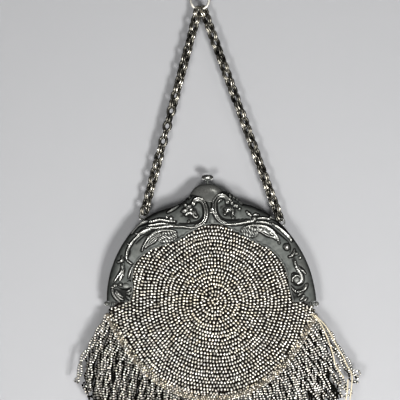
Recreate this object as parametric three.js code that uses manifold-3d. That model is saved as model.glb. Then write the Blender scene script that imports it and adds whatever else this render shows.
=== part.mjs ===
// A chatelaine purse: a round pouch of two beaded crochet discs, held in a hinged and stamped silver
// frame, with a beaded fringe round its lower rim, and hung by a double chain from one ring.
// Millimetres, +Z up, the front facing -Y. The pieces are placed from the middle of the disc, on the
// hinge line, and the finished purse is then moved so that its origin is where the ring hangs.
import * as THREE from "three";
import { mergeVertices } from "three/addons/utils/BufferGeometryUtils.js";
import Module from "manifold-3d";

const wasm = await Module();
wasm.setup();

// Driving dimensions.
const GAP = 0.3; // left between pieces that touch on the real purse
const LEAN = -0.0375; // sideways shift for each millimetre above the hinge line

const HANG_HEIGHT = 165.4; // hinge line to the inside top of the hang ring
const RING = { inner: 4.5, wire: 1.0, steps: 24, sides: 8 };
const LINK = { outer: 5.6, wire: 0.8, flat: 1.7, count: 27, steps: 8, sides: 4 };
// Where each side of the chain leaves the ring, in degrees from its foot, and its eye, from the frame's top.
const CHAIN_LEFT = { side: -1, spread: 8, eye: 36.6 };
const CHAIN_RIGHT = { side: 1, spread: 20, eye: 41.7 };

const FRAME = { depth: 7.4, wall: 1.0, end: 88.2, stations: 37, parting: 0.15 };
const EYE = { middle: 1.9, wire: 0.9, behind: 0.9, sunk: 0.4, steps: 14, sides: 6 };
const EAR = { radius: 2.3, thick: 1.0, front: 53.0, back: 51.7, hole: 1.1, tongue: 3.4, top: 6.5 };
const PIN = { radius: 0.8, ball: 1.25, outer: 56.8, inner: 50.8, head: 1.3, steps: 16 };

const CAP = { half: 10.2, top: 63.4, foot: 57.3, depth: 10.4, hole: 1.05 };
const BUTTON = { radius: 3.05, post: 0.75, under: 65.3, top: 68.3, foot: 58.2, steps: 20 };

const POUCH = { wall: 1.6, middle: 6.2, mouth: 4.0, rim: 1.75, angles: 40, rings: 6, sharp: 1.2 };
const EDGING = { radius: 1.3, start: 95, steps: 36, sides: 8 };
const FRINGE = { length: 40, thick: 4.4, belly: 5.0, splay: 0.38, stations: 37 };
const THREAD = { diameter: 0.6, front: 3.4, steps: 30, sides: 8 };

// Outline of the frame, by angle from the top, the same on both sides.
const FRAME_OUTLINE = [
  { angle: 0, inner: 42.0, outer: 57.0 },
  { angle: 10, inner: 40.4, outer: 57.0 },
  { angle: 20, inner: 39.2, outer: 56.8 },
  { angle: 30, inner: 38.6, outer: 56.3 },
  { angle: 40, inner: 40.6, outer: 55.9 },
  { angle: 50, inner: 43.2, outer: 55.7 },
  { angle: 62, inner: 43.8, outer: 55.5 },
  { angle: 72, inner: 42.6, outer: 55.5 },
  { angle: 80, inner: 41.2, outer: 55.5 },
  { angle: 90, inner: 42.4, outer: 55.5 },
];

// Section of a frame half, from its inner edge to the parting plane, as shares of width and depth.
const FRAME_SECTION = [
  { across: 0.0, depth: 0.82 },
  { across: 0.16, depth: 0.93 },
  { across: 0.45, depth: 1.0 },
  { across: 0.74, depth: 0.94 },
  { across: 0.92, depth: 0.68 },
  { across: 0.985, depth: 0.36 },
  { across: 1.0, depth: FRAME.parting / FRAME.depth },
];

// Edge of a pouch disc, by angle from the top: tucked into the frame, eared at the hinge, then round.
const POUCH_OUTLINE = [
  { angle: 0, radius: 47.0 },
  { angle: 70, radius: 47.2 },
  { angle: 84, radius: 48.6 },
  { angle: 90, radius: 49.4 },
  { angle: 95, radius: 51.5 },
  { angle: 104, radius: 51.0 },
  { angle: 116, radius: 49.5 },
  { angle: 132, radius: 49.0 },
  { angle: 180, radius: 49.0 },
];

// Routes of the two loose threads that have come out of the right-hand seam, over the fringe.
const SHORT_THREAD = [
  { x: 53.0, z: -5.2 },
  { x: 57.6, z: -10.4 },
  { x: 61.6, z: -19.2 },
  { x: 63.9, z: -26.4 },
  { x: 65.5, z: -32.3 },
  { x: 69.8, z: -39.0 },
];
const LOOP_THREAD = [
  { x: 54.4, z: -5.6 },
  { x: 59.5, z: -10.7 },
  { x: 62.9, z: -16.0 },
  { x: 66.2, z: -22.3 },
  { x: 69.2, z: -27.5 },
  { x: 71.4, z: -32.3 },
  { x: 73.8, z: -36.6 },
  { x: 74.0, z: -41.0 },
  { x: 73.4, z: -46.6 },
  { x: 72.6, z: -53.5 },
  { x: 72.4, z: -58.6 },
  { x: 71.1, z: -60.2 },
  { x: 69.8, z: -58.6 },
  { x: 70.6, z: -52.0 },
  { x: 71.6, z: -45.0 },
  { x: 71.9, z: -39.4 },
];

const radians = THREE.MathUtils.degToRad;
const leaning = (x, z) => x + LEAN * z;

// Value of one column of a table at a key, smooth between the rows.
function fromTable(rows, key, column, at) {
  const last = rows.length - 1;
  let row = 0;
  while (row < last - 1 && rows[row + 1][key] < at) row += 1;
  const near = (index) => rows[Math.min(Math.max(index, 0), last)];
  const slope = (index) =>
    (near(index + 1)[column] - near(index - 1)[column]) / (near(index + 1)[key] - near(index - 1)[key]);
  const step = near(row + 1)[key] - near(row)[key];
  const t = Math.min(Math.max((at - near(row)[key]) / step, 0), 1);
  const start = near(row)[column];
  const end = near(row + 1)[column];
  const [leave, arrive] = [slope(row) * step, slope(row + 1) * step];
  return (
    start * (1 + 2 * t) * (1 - t) ** 2 +
    leave * t * (1 - t) ** 2 +
    end * t * t * (3 - 2 * t) +
    arrive * t * t * (t - 1)
  );
}

// Triangles of a closed solid as a geometry whose faces point outwards.
function closedGeometry(points, triangles) {
  let volume = 0;
  for (const [a, b, c] of triangles) volume += points[a].dot(points[b].clone().cross(points[c])) / 6;
  const faced = volume < 0 ? triangles.map(([a, b, c]) => [a, c, b]) : triangles;
  const geometry = new THREE.BufferGeometry().setFromPoints(points);
  geometry.setIndex(faced.flat());
  return geometry;
}

// A wall between an outer and an inner surface, each given as rows of points.
// A wrapped wall joins its last row to its first, and its first column is then one point, its pole.
function wallBetween(outer, inner, wrapped) {
  const rows = outer.length;
  const columns = outer[0].length;
  const points = [...outer.flat(), ...inner.flat()];
  const place = (side, row, column) =>
    side * rows * columns + (wrapped && column === 0 ? 0 : (row % rows) * columns + column);
  const triangles = [];
  const quad = (a, b, c, d) => {
    if (a !== b) triangles.push([a, b, c]);
    if (c !== d) triangles.push([a, c, d]);
  };
  for (let row = 0; row < (wrapped ? rows : rows - 1); row += 1) {
    for (let column = 0; column < columns - 1; column += 1) {
      const corners = (side) => [
        place(side, row, column),
        place(side, row + 1, column),
        place(side, row + 1, column + 1),
        place(side, row, column + 1),
      ];
      quad(...corners(0));
      quad(...corners(1).reverse());
    }
    const rim = (column) => [0, 1].map((side) => [place(side, row, column), place(side, row + 1, column)]);
    const [[a, b], [c, d]] = rim(columns - 1);
    quad(a, b, d, c);
    if (!wrapped) {
      const [[e, f], [g, h]] = rim(0);
      quad(e, g, h, f);
    }
  }
  if (!wrapped) {
    for (let column = 0; column < columns - 1; column += 1) {
      const strip = (row) => [
        place(0, row, column),
        place(0, row, column + 1),
        place(1, row, column + 1),
        place(1, row, column),
      ];
      quad(...strip(0));
      quad(...strip(rows - 1).reverse());
    }
  }
  return closedGeometry(points, triangles);
}

// Closed sections joined one after the other, with a flat fan at each end.
function loft(sections) {
  const sides = sections[0].length;
  const points = sections.flat();
  const triangles = [];
  for (let station = 0; station < sections.length - 1; station += 1) {
    for (let side = 0; side < sides; side += 1) {
      const next = (side + 1) % sides;
      const [a, b] = [station * sides + side, station * sides + next];
      triangles.push([a, b, b + sides], [a, b + sides, a + sides]);
    }
  }
  const last = (sections.length - 1) * sides;
  for (let side = 1; side < sides - 1; side += 1) {
    triangles.push([0, side + 1, side], [last, last + side, last + side + 1]);
  }
  return closedGeometry(points, triangles);
}

// A geometry as a solid that can be joined and cut, and back again.
function solidOf(geometry) {
  const bare = geometry.clone();
  bare.deleteAttribute("normal");
  bare.deleteAttribute("uv");
  const merged = mergeVertices(bare, 1e-4);
  const vertProperties = new Float32Array(merged.getAttribute("position").array);
  const triVerts = new Uint32Array(merged.getIndex().array);
  return new wasm.Manifold(new wasm.Mesh({ numProp: 3, vertProperties, triVerts }));
}

function geometryOf(solid) {
  const { vertProperties, triVerts } = solid.getMesh();
  const geometry = new THREE.BufferGeometry();
  geometry.setAttribute("position", new THREE.BufferAttribute(new Float32Array(vertProperties), 3));
  geometry.setIndex(new THREE.BufferAttribute(new Uint32Array(triVerts), 1));
  return geometry;
}

// Finishes of the pieces.
const finish = (color, roughness, metalness) =>
  new THREE.MeshStandardMaterial({ color, roughness, metalness });
const TARNISHED_SILVER = finish(0x6c706e, 0.38, 1.0);
const CHAIN_SILVER = finish(0x8d8b84, 0.3, 1.0);
const BEADED_CROCHET = finish(0x89847b, 0.45, 0.6);
const SEAM_THREAD = finish(0xa39274, 0.9, 0.0);
const CREAM_THREAD = finish(0xe6dcc4, 0.9, 0.0);

const purse = new THREE.Group();
purse.name = "chatelaine_purse";
purse.position.set(-leaning(0, HANG_HEIGHT), -EYE.behind, -HANG_HEIGHT);

function add(name, geometry, material) {
  const mesh = new THREE.Mesh(geometry, material);
  mesh.name = name;
  purse.add(mesh);
  return mesh;
}

// Hang ring and chain.

const ringMiddle = RING.inner + RING.wire / 2;
const ringCentre = new THREE.Vector3(leaning(0, HANG_HEIGHT), EYE.behind, HANG_HEIGHT - RING.inner);

function hangRing() {
  const torus = new THREE.TorusGeometry(ringMiddle, RING.wire / 2, RING.sides, RING.steps);
  return torus.rotateX(Math.PI / 2).translate(ringCentre.x, ringCentre.y, ringCentre.z);
}

// Middle of the eye on the rim of the frame that one end of the chain hooks into.
function eyeCentre({ side, eye }) {
  const rim = fromTable(FRAME_OUTLINE, "angle", "outer", eye);
  const reach = rim + EYE.middle + EYE.wire / 2 - EYE.sunk;
  const z = reach * Math.cos(radians(eye));
  return new THREE.Vector3(leaning(side * reach * Math.sin(radians(eye)), z), EYE.behind, z);
}

// One side of the chain: round links, edge on and face on in turn, fused where they bear on each other.
function chain({ side, spread, eye }) {
  const lean = radians(spread);
  const top = ringCentre.clone().add(
    new THREE.Vector3(side * ringMiddle * Math.sin(lean), 0, -ringMiddle * Math.cos(lean)),
  );
  const along = eyeCentre({ side, eye }).sub(top);
  const length = along.length() - EYE.middle;
  along.normalize();
  const hooked = (wire) => LINK.outer / 2 - LINK.wire - GAP - wire / 2;
  const pitch = (length - hooked(RING.wire) - hooked(EYE.wire)) / (LINK.count - 1);
  const depth = new THREE.Vector3(0, 1, 0);
  const across = new THREE.Vector3().crossVectors(depth, along);
  let joined = null;
  for (let link = 0; link < LINK.count; link += 1) {
    const middleRadius = (LINK.outer - LINK.wire) / 2;
    const torus = new THREE.TorusGeometry(middleRadius, LINK.wire / 2, LINK.sides, LINK.steps);
    torus.scale(1, 1, LINK.flat);
    const edgeOn = link % 2 === 0;
    const middle = top.clone().addScaledVector(along, hooked(RING.wire) + link * pitch);
    const turn = edgeOn
      ? new THREE.Matrix4().makeBasis(along, depth, across.clone().negate())
      : new THREE.Matrix4().makeBasis(along, across, depth);
    torus.applyMatrix4(turn.setPosition(middle));
    const solid = solidOf(torus);
    joined = joined ? joined.add(solid) : solid;
  }
  return geometryOf(joined);
}

// Frame halves. One half is a stamped shell that curves from its inner edge out to the parting plane.

// Outer and inner face of the section at one angle, each as distances from the disc's middle and the plane.
function frameSection(angle) {
  const inner = fromTable(FRAME_OUTLINE, "angle", "inner", Math.abs(angle));
  const outer = fromTable(FRAME_OUTLINE, "angle", "outer", Math.abs(angle));
  const face = FRAME_SECTION.map(
    ({ across, depth }) => new THREE.Vector2(inner + across * (outer - inner), depth * FRAME.depth),
  );
  const back = face.map((point, index) => {
    const before = face[Math.max(index - 1, 0)];
    const after = face[Math.min(index + 1, face.length - 1)];
    const run = after.clone().sub(before).normalize();
    return index === face.length - 1
      ? new THREE.Vector2(point.x - FRAME.wall, point.y)
      : new THREE.Vector2(point.x + run.y * FRAME.wall, point.y - run.x * FRAME.wall);
  });
  return { face, back };
}

function frameShell(toward) {
  const placed = (angle, { x: radius, y: depth }) => {
    const z = radius * Math.cos(radians(angle));
    return new THREE.Vector3(leaning(radius * Math.sin(radians(angle)), z), toward * depth, z);
  };
  const outer = [];
  const inner = [];
  for (let station = 0; station < FRAME.stations; station += 1) {
    const angle = -FRAME.end + (2 * FRAME.end * station) / (FRAME.stations - 1);
    const { face, back } = frameSection(angle);
    outer.push(face.map((point) => placed(angle, point)));
    inner.push(back.map((point) => placed(angle, point)));
  }
  return wallBetween(outer, inner, false);
}

function box(low, high) {
  const size = high.map((value, axis) => value - low[axis]);
  const middle = high.map((value, axis) => (value + low[axis]) / 2);
  return new THREE.BoxGeometry(...size).translate(...middle);
}

// A round bar along X between two places.
function barAlongX(radius, from, to, steps) {
  const bar = new THREE.CylinderGeometry(radius, radius, to - from, steps);
  return bar.rotateZ(Math.PI / 2).translate((from + to) / 2, 0, 0);
}

// The lug at one end of a half: a round ear on the hinge line, hung from the shell by a tongue.
function withEar(solid, toward, side) {
  const low = toward < 0 ? EAR.front : EAR.back;
  const span = [side * low, side * (low + EAR.thick)].sort((a, b) => a - b);
  const depths = [toward * 2 * FRAME.parting, toward * EAR.tongue].sort((a, b) => a - b);
  const shellInside = FRAME_OUTLINE[0].outer - FRAME.wall;
  const root = [side * low, side * (shellInside - FRAME.wall)].sort((a, b) => a - b);
  const rootFoot = EAR.radius + GAP;
  return solid
    .add(solidOf(barAlongX(EAR.radius, span[0], span[1], PIN.steps)))
    .add(solidOf(box([span[0], depths[0], 0], [span[1], depths[1], EAR.top])))
    .add(solidOf(box([root[0], depths[0], rootFoot], [root[1], depths[1], EAR.top])))
    .subtract(solidOf(barAlongX(EAR.hole, side < 0 ? -PIN.outer : 0, side < 0 ? 0 : PIN.outer, PIN.steps)));
}

function frameHalf(toward) {
  const eared = [-1, 1].reduce((solid, side) => withEar(solid, toward, side), solidOf(frameShell(toward)));
  if (toward < 0) return geometryOf(eared);
  const eyed = [CHAIN_LEFT, CHAIN_RIGHT].reduce((solid, ends) => {
    const centre = eyeCentre(ends);
    const torus = new THREE.TorusGeometry(EYE.middle, EYE.wire / 2, EYE.sides, EYE.steps);
    torus.rotateX(Math.PI / 2).translate(centre.x, centre.y, centre.z);
    return solid.add(solidOf(torus));
  }, eared);
  return geometryOf(eyed);
}

// The hinge rivet of one side: a pin along X with a ball head outside and a flat head inside.
function hingePin(side) {
  const ballMiddle = PIN.outer - PIN.ball;
  const ballFoot = ballMiddle - Math.sqrt(PIN.ball ** 2 - PIN.radius ** 2);
  const headThick = EAR.back - GAP - PIN.inner;
  const profile = [
    new THREE.Vector2(0, PIN.inner),
    new THREE.Vector2(PIN.head, PIN.inner),
    new THREE.Vector2(PIN.head, PIN.inner + headThick),
    new THREE.Vector2(PIN.radius, PIN.inner + headThick),
    new THREE.Vector2(PIN.radius, ballFoot),
  ];
  const startAngle = Math.acos(PIN.radius / PIN.ball);
  const arcSteps = 8;
  for (let step = 1; step < arcSteps; step += 1) {
    const angle = -startAngle + ((Math.PI / 2 + startAngle) * step) / arcSteps;
    profile.push(new THREE.Vector2(PIN.ball * Math.cos(angle), ballMiddle + PIN.ball * Math.sin(angle)));
  }
  profile.push(new THREE.Vector2(0, PIN.outer));
  return new THREE.LatheGeometry(profile, PIN.steps).rotateZ((-side * Math.PI) / 2);
}

// Clasp: a domed cap over the top of both halves, and the plunger that is pressed down through it.

const claspX = leaning(0, CAP.foot);

function catchCap() {
  const end = Math.sqrt(CAP.foot ** 2 - CAP.half ** 2);
  const footTurn = Math.asin(CAP.half / CAP.foot);
  const rise = CAP.top - end;
  const domeRadius = (CAP.half ** 2 + rise ** 2) / (2 * rise);
  const domeMiddle = CAP.top - domeRadius;
  const domeTurn = Math.asin(CAP.half / domeRadius);
  const outline = new THREE.Shape();
  outline.absarc(0, domeMiddle, domeRadius, Math.PI / 2 - domeTurn, Math.PI / 2 + domeTurn, false);
  outline.absarc(0, 0, CAP.foot, Math.PI / 2 + footTurn, Math.PI / 2 - footTurn, true);
  const slab = new THREE.ExtrudeGeometry(outline, {
    depth: CAP.depth,
    bevelEnabled: false,
    curveSegments: 14,
  });
  slab.rotateX(Math.PI / 2).translate(claspX, CAP.depth / 2, 0);
  const hole = new THREE.CylinderGeometry(CAP.hole, CAP.hole, CAP.top, 16).rotateX(Math.PI / 2);
  return geometryOf(solidOf(slab).subtract(solidOf(hole.translate(claspX, 0, CAP.top))));
}

function claspButton() {
  const middle = (BUTTON.under + BUTTON.top) / 2;
  const half = (BUTTON.top - BUTTON.under) / 2;
  const profile = [
    new THREE.Vector2(0, BUTTON.foot),
    new THREE.Vector2(BUTTON.post, BUTTON.foot),
    new THREE.Vector2(BUTTON.post, BUTTON.under + 0.2 * half),
    new THREE.Vector2(0.62 * BUTTON.radius, BUTTON.under + 0.25 * half),
    new THREE.Vector2(0.94 * BUTTON.radius, middle - 0.45 * half),
    new THREE.Vector2(BUTTON.radius, middle),
    new THREE.Vector2(0.88 * BUTTON.radius, middle + 0.5 * half),
    new THREE.Vector2(0.5 * BUTTON.radius, middle + 0.9 * half),
    new THREE.Vector2(0, BUTTON.top),
  ];
  return new THREE.LatheGeometry(profile, BUTTON.steps).rotateX(Math.PI / 2).translate(claspX, 0, 0);
}

// Pouch. Each disc is a dished wall whose upper edge stands off the parting plane, which leaves the mouth
// open inside the frame, and whose lower edge comes in to meet the other disc at the rim.

const pouchEdge = (angle) => fromTable(POUCH_OUTLINE, "angle", "radius", Math.abs(angle));

function pouchDepth(angle, share) {
  const belowHinge = THREE.MathUtils.smoothstep(Math.abs(angle), 78, 104);
  const edge = THREE.MathUtils.lerp(POUCH.mouth, POUCH.rim, belowHinge);
  return edge + (POUCH.middle - edge) * (1 - share ** 2) ** POUCH.sharp;
}

function pouchDisc(toward) {
  const face = [];
  const back = [];
  for (let turn = 0; turn < POUCH.angles; turn += 1) {
    const angle = -180 + (360 * turn) / POUCH.angles;
    const shares = Array.from({ length: POUCH.rings + 1 }, (_, ring) => Math.sqrt(ring / POUCH.rings));
    const at = (share, inset) => {
      const radius = share * pouchEdge(angle);
      const depth = pouchDepth(angle, share) - inset;
      return new THREE.Vector3(
        radius * Math.sin(radians(angle)),
        toward * depth,
        radius * Math.cos(radians(angle)),
      );
    };
    face.push(shares.map((share) => at(share, 0)));
    back.push(shares.map((share) => at(share, POUCH.wall)));
  }
  return wallBetween(face, back, true);
}

// The crocheted edging that closes the rim: a round welt along the lower edge of both discs.
function rimEdging() {
  const sections = [];
  for (let step = 0; step <= EDGING.steps; step += 1) {
    const angle = EDGING.start + ((360 - 2 * EDGING.start) * step) / EDGING.steps;
    const folded = angle > 180 ? angle - 360 : angle;
    const middle = pouchEdge(folded) + GAP + EDGING.radius;
    const out = new THREE.Vector3(Math.sin(radians(folded)), 0, Math.cos(radians(folded)));
    const section = [];
    for (let side = 0; side < EDGING.sides; side += 1) {
      const turn = (2 * Math.PI * side) / EDGING.sides;
      section.push(
        out
          .clone()
          .multiplyScalar(middle + EDGING.radius * Math.cos(turn))
          .setY(EDGING.radius * Math.sin(turn)),
      );
    }
    sections.push(section);
  }
  return loft(sections);
}

// Outer form of the bead fringe: strands of one length that splay a little from the rim as they hang.
function fringe() {
  const widest = 180 - EDGING.start;
  const sections = [];
  for (let station = 0; station < FRINGE.stations; station += 1) {
    const fromBottom = -widest + (2 * widest * station) / (FRINGE.stations - 1);
    const radius = pouchEdge(180 - Math.abs(fromBottom)) + 2 * EDGING.radius + 2 * GAP;
    const rootX = radius * Math.sin(radians(fromBottom));
    const rootZ = -radius * Math.cos(radians(fromBottom));
    const splay = radians(FRINGE.splay * fromBottom);
    const at = (share, depth) =>
      new THREE.Vector3(
        rootX + share * FRINGE.length * Math.sin(splay),
        depth,
        rootZ - share * FRINGE.length * Math.cos(splay),
      );
    const root = FRINGE.thick / 2;
    const belly = FRINGE.belly / 2;
    sections.push([at(0, -root), at(0.5, -belly), at(1, -root), at(1, root), at(0.5, belly), at(0, root)]);
  }
  return loft(sections);
}

// A loose thread: a round tube along its route, just in front of the fringe.
function looseThread(route) {
  const points = route.map(({ x, z }) => new THREE.Vector3(x, -THREAD.front, z));
  const outline = new THREE.Shape();
  outline.absarc(0, 0, THREAD.diameter / 2, 0, 2 * Math.PI, false);
  const section = new THREE.Shape(outline.getPoints(THREAD.sides).slice(0, THREAD.sides));
  return new THREE.ExtrudeGeometry(section, {
    steps: THREAD.steps,
    extrudePath: new THREE.CatmullRomCurve3(points, false, "centripetal"),
  });
}

add("hang_ring", hangRing(), CHAIN_SILVER);
add("chain_left", chain(CHAIN_LEFT), CHAIN_SILVER);
add("chain_right", chain(CHAIN_RIGHT), CHAIN_SILVER);
add("front_frame", frameHalf(-1), TARNISHED_SILVER);
add("back_frame", frameHalf(1), TARNISHED_SILVER);
add("hinge_pin_left", hingePin(-1), TARNISHED_SILVER);
add("hinge_pin_right", hingePin(1), TARNISHED_SILVER);
add("catch_cap", catchCap(), TARNISHED_SILVER);
add("clasp_button", claspButton(), TARNISHED_SILVER);
add("pouch_front", pouchDisc(-1), BEADED_CROCHET);
add("pouch_back", pouchDisc(1), BEADED_CROCHET);
add("rim_edging", rimEdging(), SEAM_THREAD);
add("fringe", fringe(), BEADED_CROCHET);
add("loose_thread_short", looseThread(SHORT_THREAD), CREAM_THREAD);
add("loose_thread_loop", looseThread(LOOP_THREAD), CREAM_THREAD);

export default purse;
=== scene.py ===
import math
from typing import NamedTuple

import bmesh
import bpy
import numpy as np
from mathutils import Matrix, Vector


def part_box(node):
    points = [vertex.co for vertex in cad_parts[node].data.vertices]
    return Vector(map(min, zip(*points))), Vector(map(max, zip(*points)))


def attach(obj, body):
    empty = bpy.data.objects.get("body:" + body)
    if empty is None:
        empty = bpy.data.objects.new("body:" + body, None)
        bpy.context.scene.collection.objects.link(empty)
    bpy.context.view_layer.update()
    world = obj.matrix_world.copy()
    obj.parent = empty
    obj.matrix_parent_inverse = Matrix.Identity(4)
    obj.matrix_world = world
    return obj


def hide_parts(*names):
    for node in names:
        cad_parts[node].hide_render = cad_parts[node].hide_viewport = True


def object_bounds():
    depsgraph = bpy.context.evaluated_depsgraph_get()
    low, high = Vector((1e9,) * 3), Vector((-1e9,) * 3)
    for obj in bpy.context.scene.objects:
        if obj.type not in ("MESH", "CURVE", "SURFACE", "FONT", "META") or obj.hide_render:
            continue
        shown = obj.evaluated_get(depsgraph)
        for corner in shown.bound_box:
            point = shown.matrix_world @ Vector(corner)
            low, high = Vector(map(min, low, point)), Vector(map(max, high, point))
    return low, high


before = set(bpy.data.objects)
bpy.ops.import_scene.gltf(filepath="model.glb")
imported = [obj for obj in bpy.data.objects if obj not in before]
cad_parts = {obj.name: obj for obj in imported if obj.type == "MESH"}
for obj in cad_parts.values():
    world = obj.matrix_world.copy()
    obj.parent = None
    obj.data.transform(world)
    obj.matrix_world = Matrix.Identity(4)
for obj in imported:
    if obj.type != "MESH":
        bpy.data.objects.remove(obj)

bl_info = {
    "name": "Chatelaine purse",
    "version": (1, 0, 0),
    "blender": (4, 5, 0),
    "location": "3D View > Sidebar > Purse",
    "description": "Beadwork, stamped silver and chain for the packed purse",
    "category": "Object",
}

# The CAD box, kept before any piece is added.
CAD_BOX = [list(corner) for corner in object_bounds()]

# Shapes are worked out in millimetres from the middle of the hinge line, where the beaded discs centre.
MM = 0.001
PINS = [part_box("hinge_pin_left"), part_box("hinge_pin_right")]
HINGE_MIDDLE = np.array([
    (PINS[0][0].x + PINS[1][1].x) / 2,
    (PINS[0][0].y + PINS[0][1].y) / 2,
    (PINS[0][0].z + PINS[0][1].z) / 2,
])
RING_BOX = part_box("hang_ring")
BUTTON_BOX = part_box("clasp_button")
CAP_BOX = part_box("catch_cap")

# Sideways shift for each millimetre above the hinge line, as the purse hangs.
LEAN = -0.0375

# Depth of a disc's face in its middle, tucked under the frame and at the open rim, and its wall.
DISC_MIDDLE_DEPTH = 6.2
DISC_TUCKED_DEPTH = 4.0
DISC_RIM_DEPTH = 1.75
DISC_WALL = 1.6

# Gap of a frame half's edge from the parting plane, as a share of the half's depth.
FRAME_PARTING = 0.02

# Chain eyes: radius to the middle of the wire, the wire's half, distance from the hinge middle, and depth.
EYE_RADIUS = 1.9
EYE_WIRE = 0.45
EYE_REACH = 57.8
EYE_DEPTH = 0.9

# Colour of the dark film on the chain's wire and on its ring.
WIRE_FILM = (0.010, 0.0097, 0.0087)


class FrameRow(NamedTuple):
    """Inner and outer edge of the frame at an angle from its top, negative on the left."""

    angle: float
    inner: float
    outer: float


FRAME_OUTLINE = (
    FrameRow(-90, 42.6, 55.5),
    FrameRow(-80, 41.2, 55.5),
    FrameRow(-70, 43.2, 55.5),
    FrameRow(-61, 44.4, 55.6),
    FrameRow(-52, 42.8, 55.8),
    FrameRow(-42, 40.4, 56.1),
    FrameRow(-31, 38.0, 55.8),
    FrameRow(-24, 37.6, 54.9),
    FrameRow(-17.5, 38.4, 54.6),
    FrameRow(-14, 38.8, 55.5),
    FrameRow(-11, 39.4, 57.0),
    FrameRow(-7.5, 40.1, 58.8),
    FrameRow(-4, 41.0, 58.1),
    FrameRow(-1, 41.6, 56.0),
    FrameRow(1.4, 41.9, 55.2),
    FrameRow(4, 42.0, 57.2),
    FrameRow(6, 42.1, 59.3),
    FrameRow(8.5, 42.0, 60.2),
    FrameRow(11.5, 41.8, 59.6),
    FrameRow(15, 41.4, 58.1),
    FrameRow(18.5, 41.0, 56.4),
    FrameRow(24, 40.6, 56.8),
    FrameRow(32, 40.4, 57.2),
    FrameRow(42, 41.6, 57.0),
    FrameRow(52, 43.0, 56.4),
    FrameRow(62, 43.2, 56.0),
    FrameRow(72, 42.4, 55.7),
    FrameRow(80, 41.6, 55.5),
    FrameRow(90, 42.6, 55.5),
)


class DiscRow(NamedTuple):
    """Edge of a crochet disc at an angle from its top."""

    angle: float
    radius: float


DISC_OUTLINE = (
    DiscRow(0, 47.0),
    DiscRow(70, 47.2),
    DiscRow(84, 48.6),
    DiscRow(90, 49.8),
    DiscRow(93.0, 53.8),
    DiscRow(97, 53.6),
    DiscRow(104, 51.8),
    DiscRow(116, 49.7),
    DiscRow(132, 49.0),
    DiscRow(180, 49.0),
)


class Line(NamedTuple):
    """A stamped line: half width, height (below 0 where sunk), ribs, its ends' shares of the width, route.

    The route is a row of points in x and z.
    """

    half: float
    height: float
    ribs: int
    start: float
    end: float
    route: tuple


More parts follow.
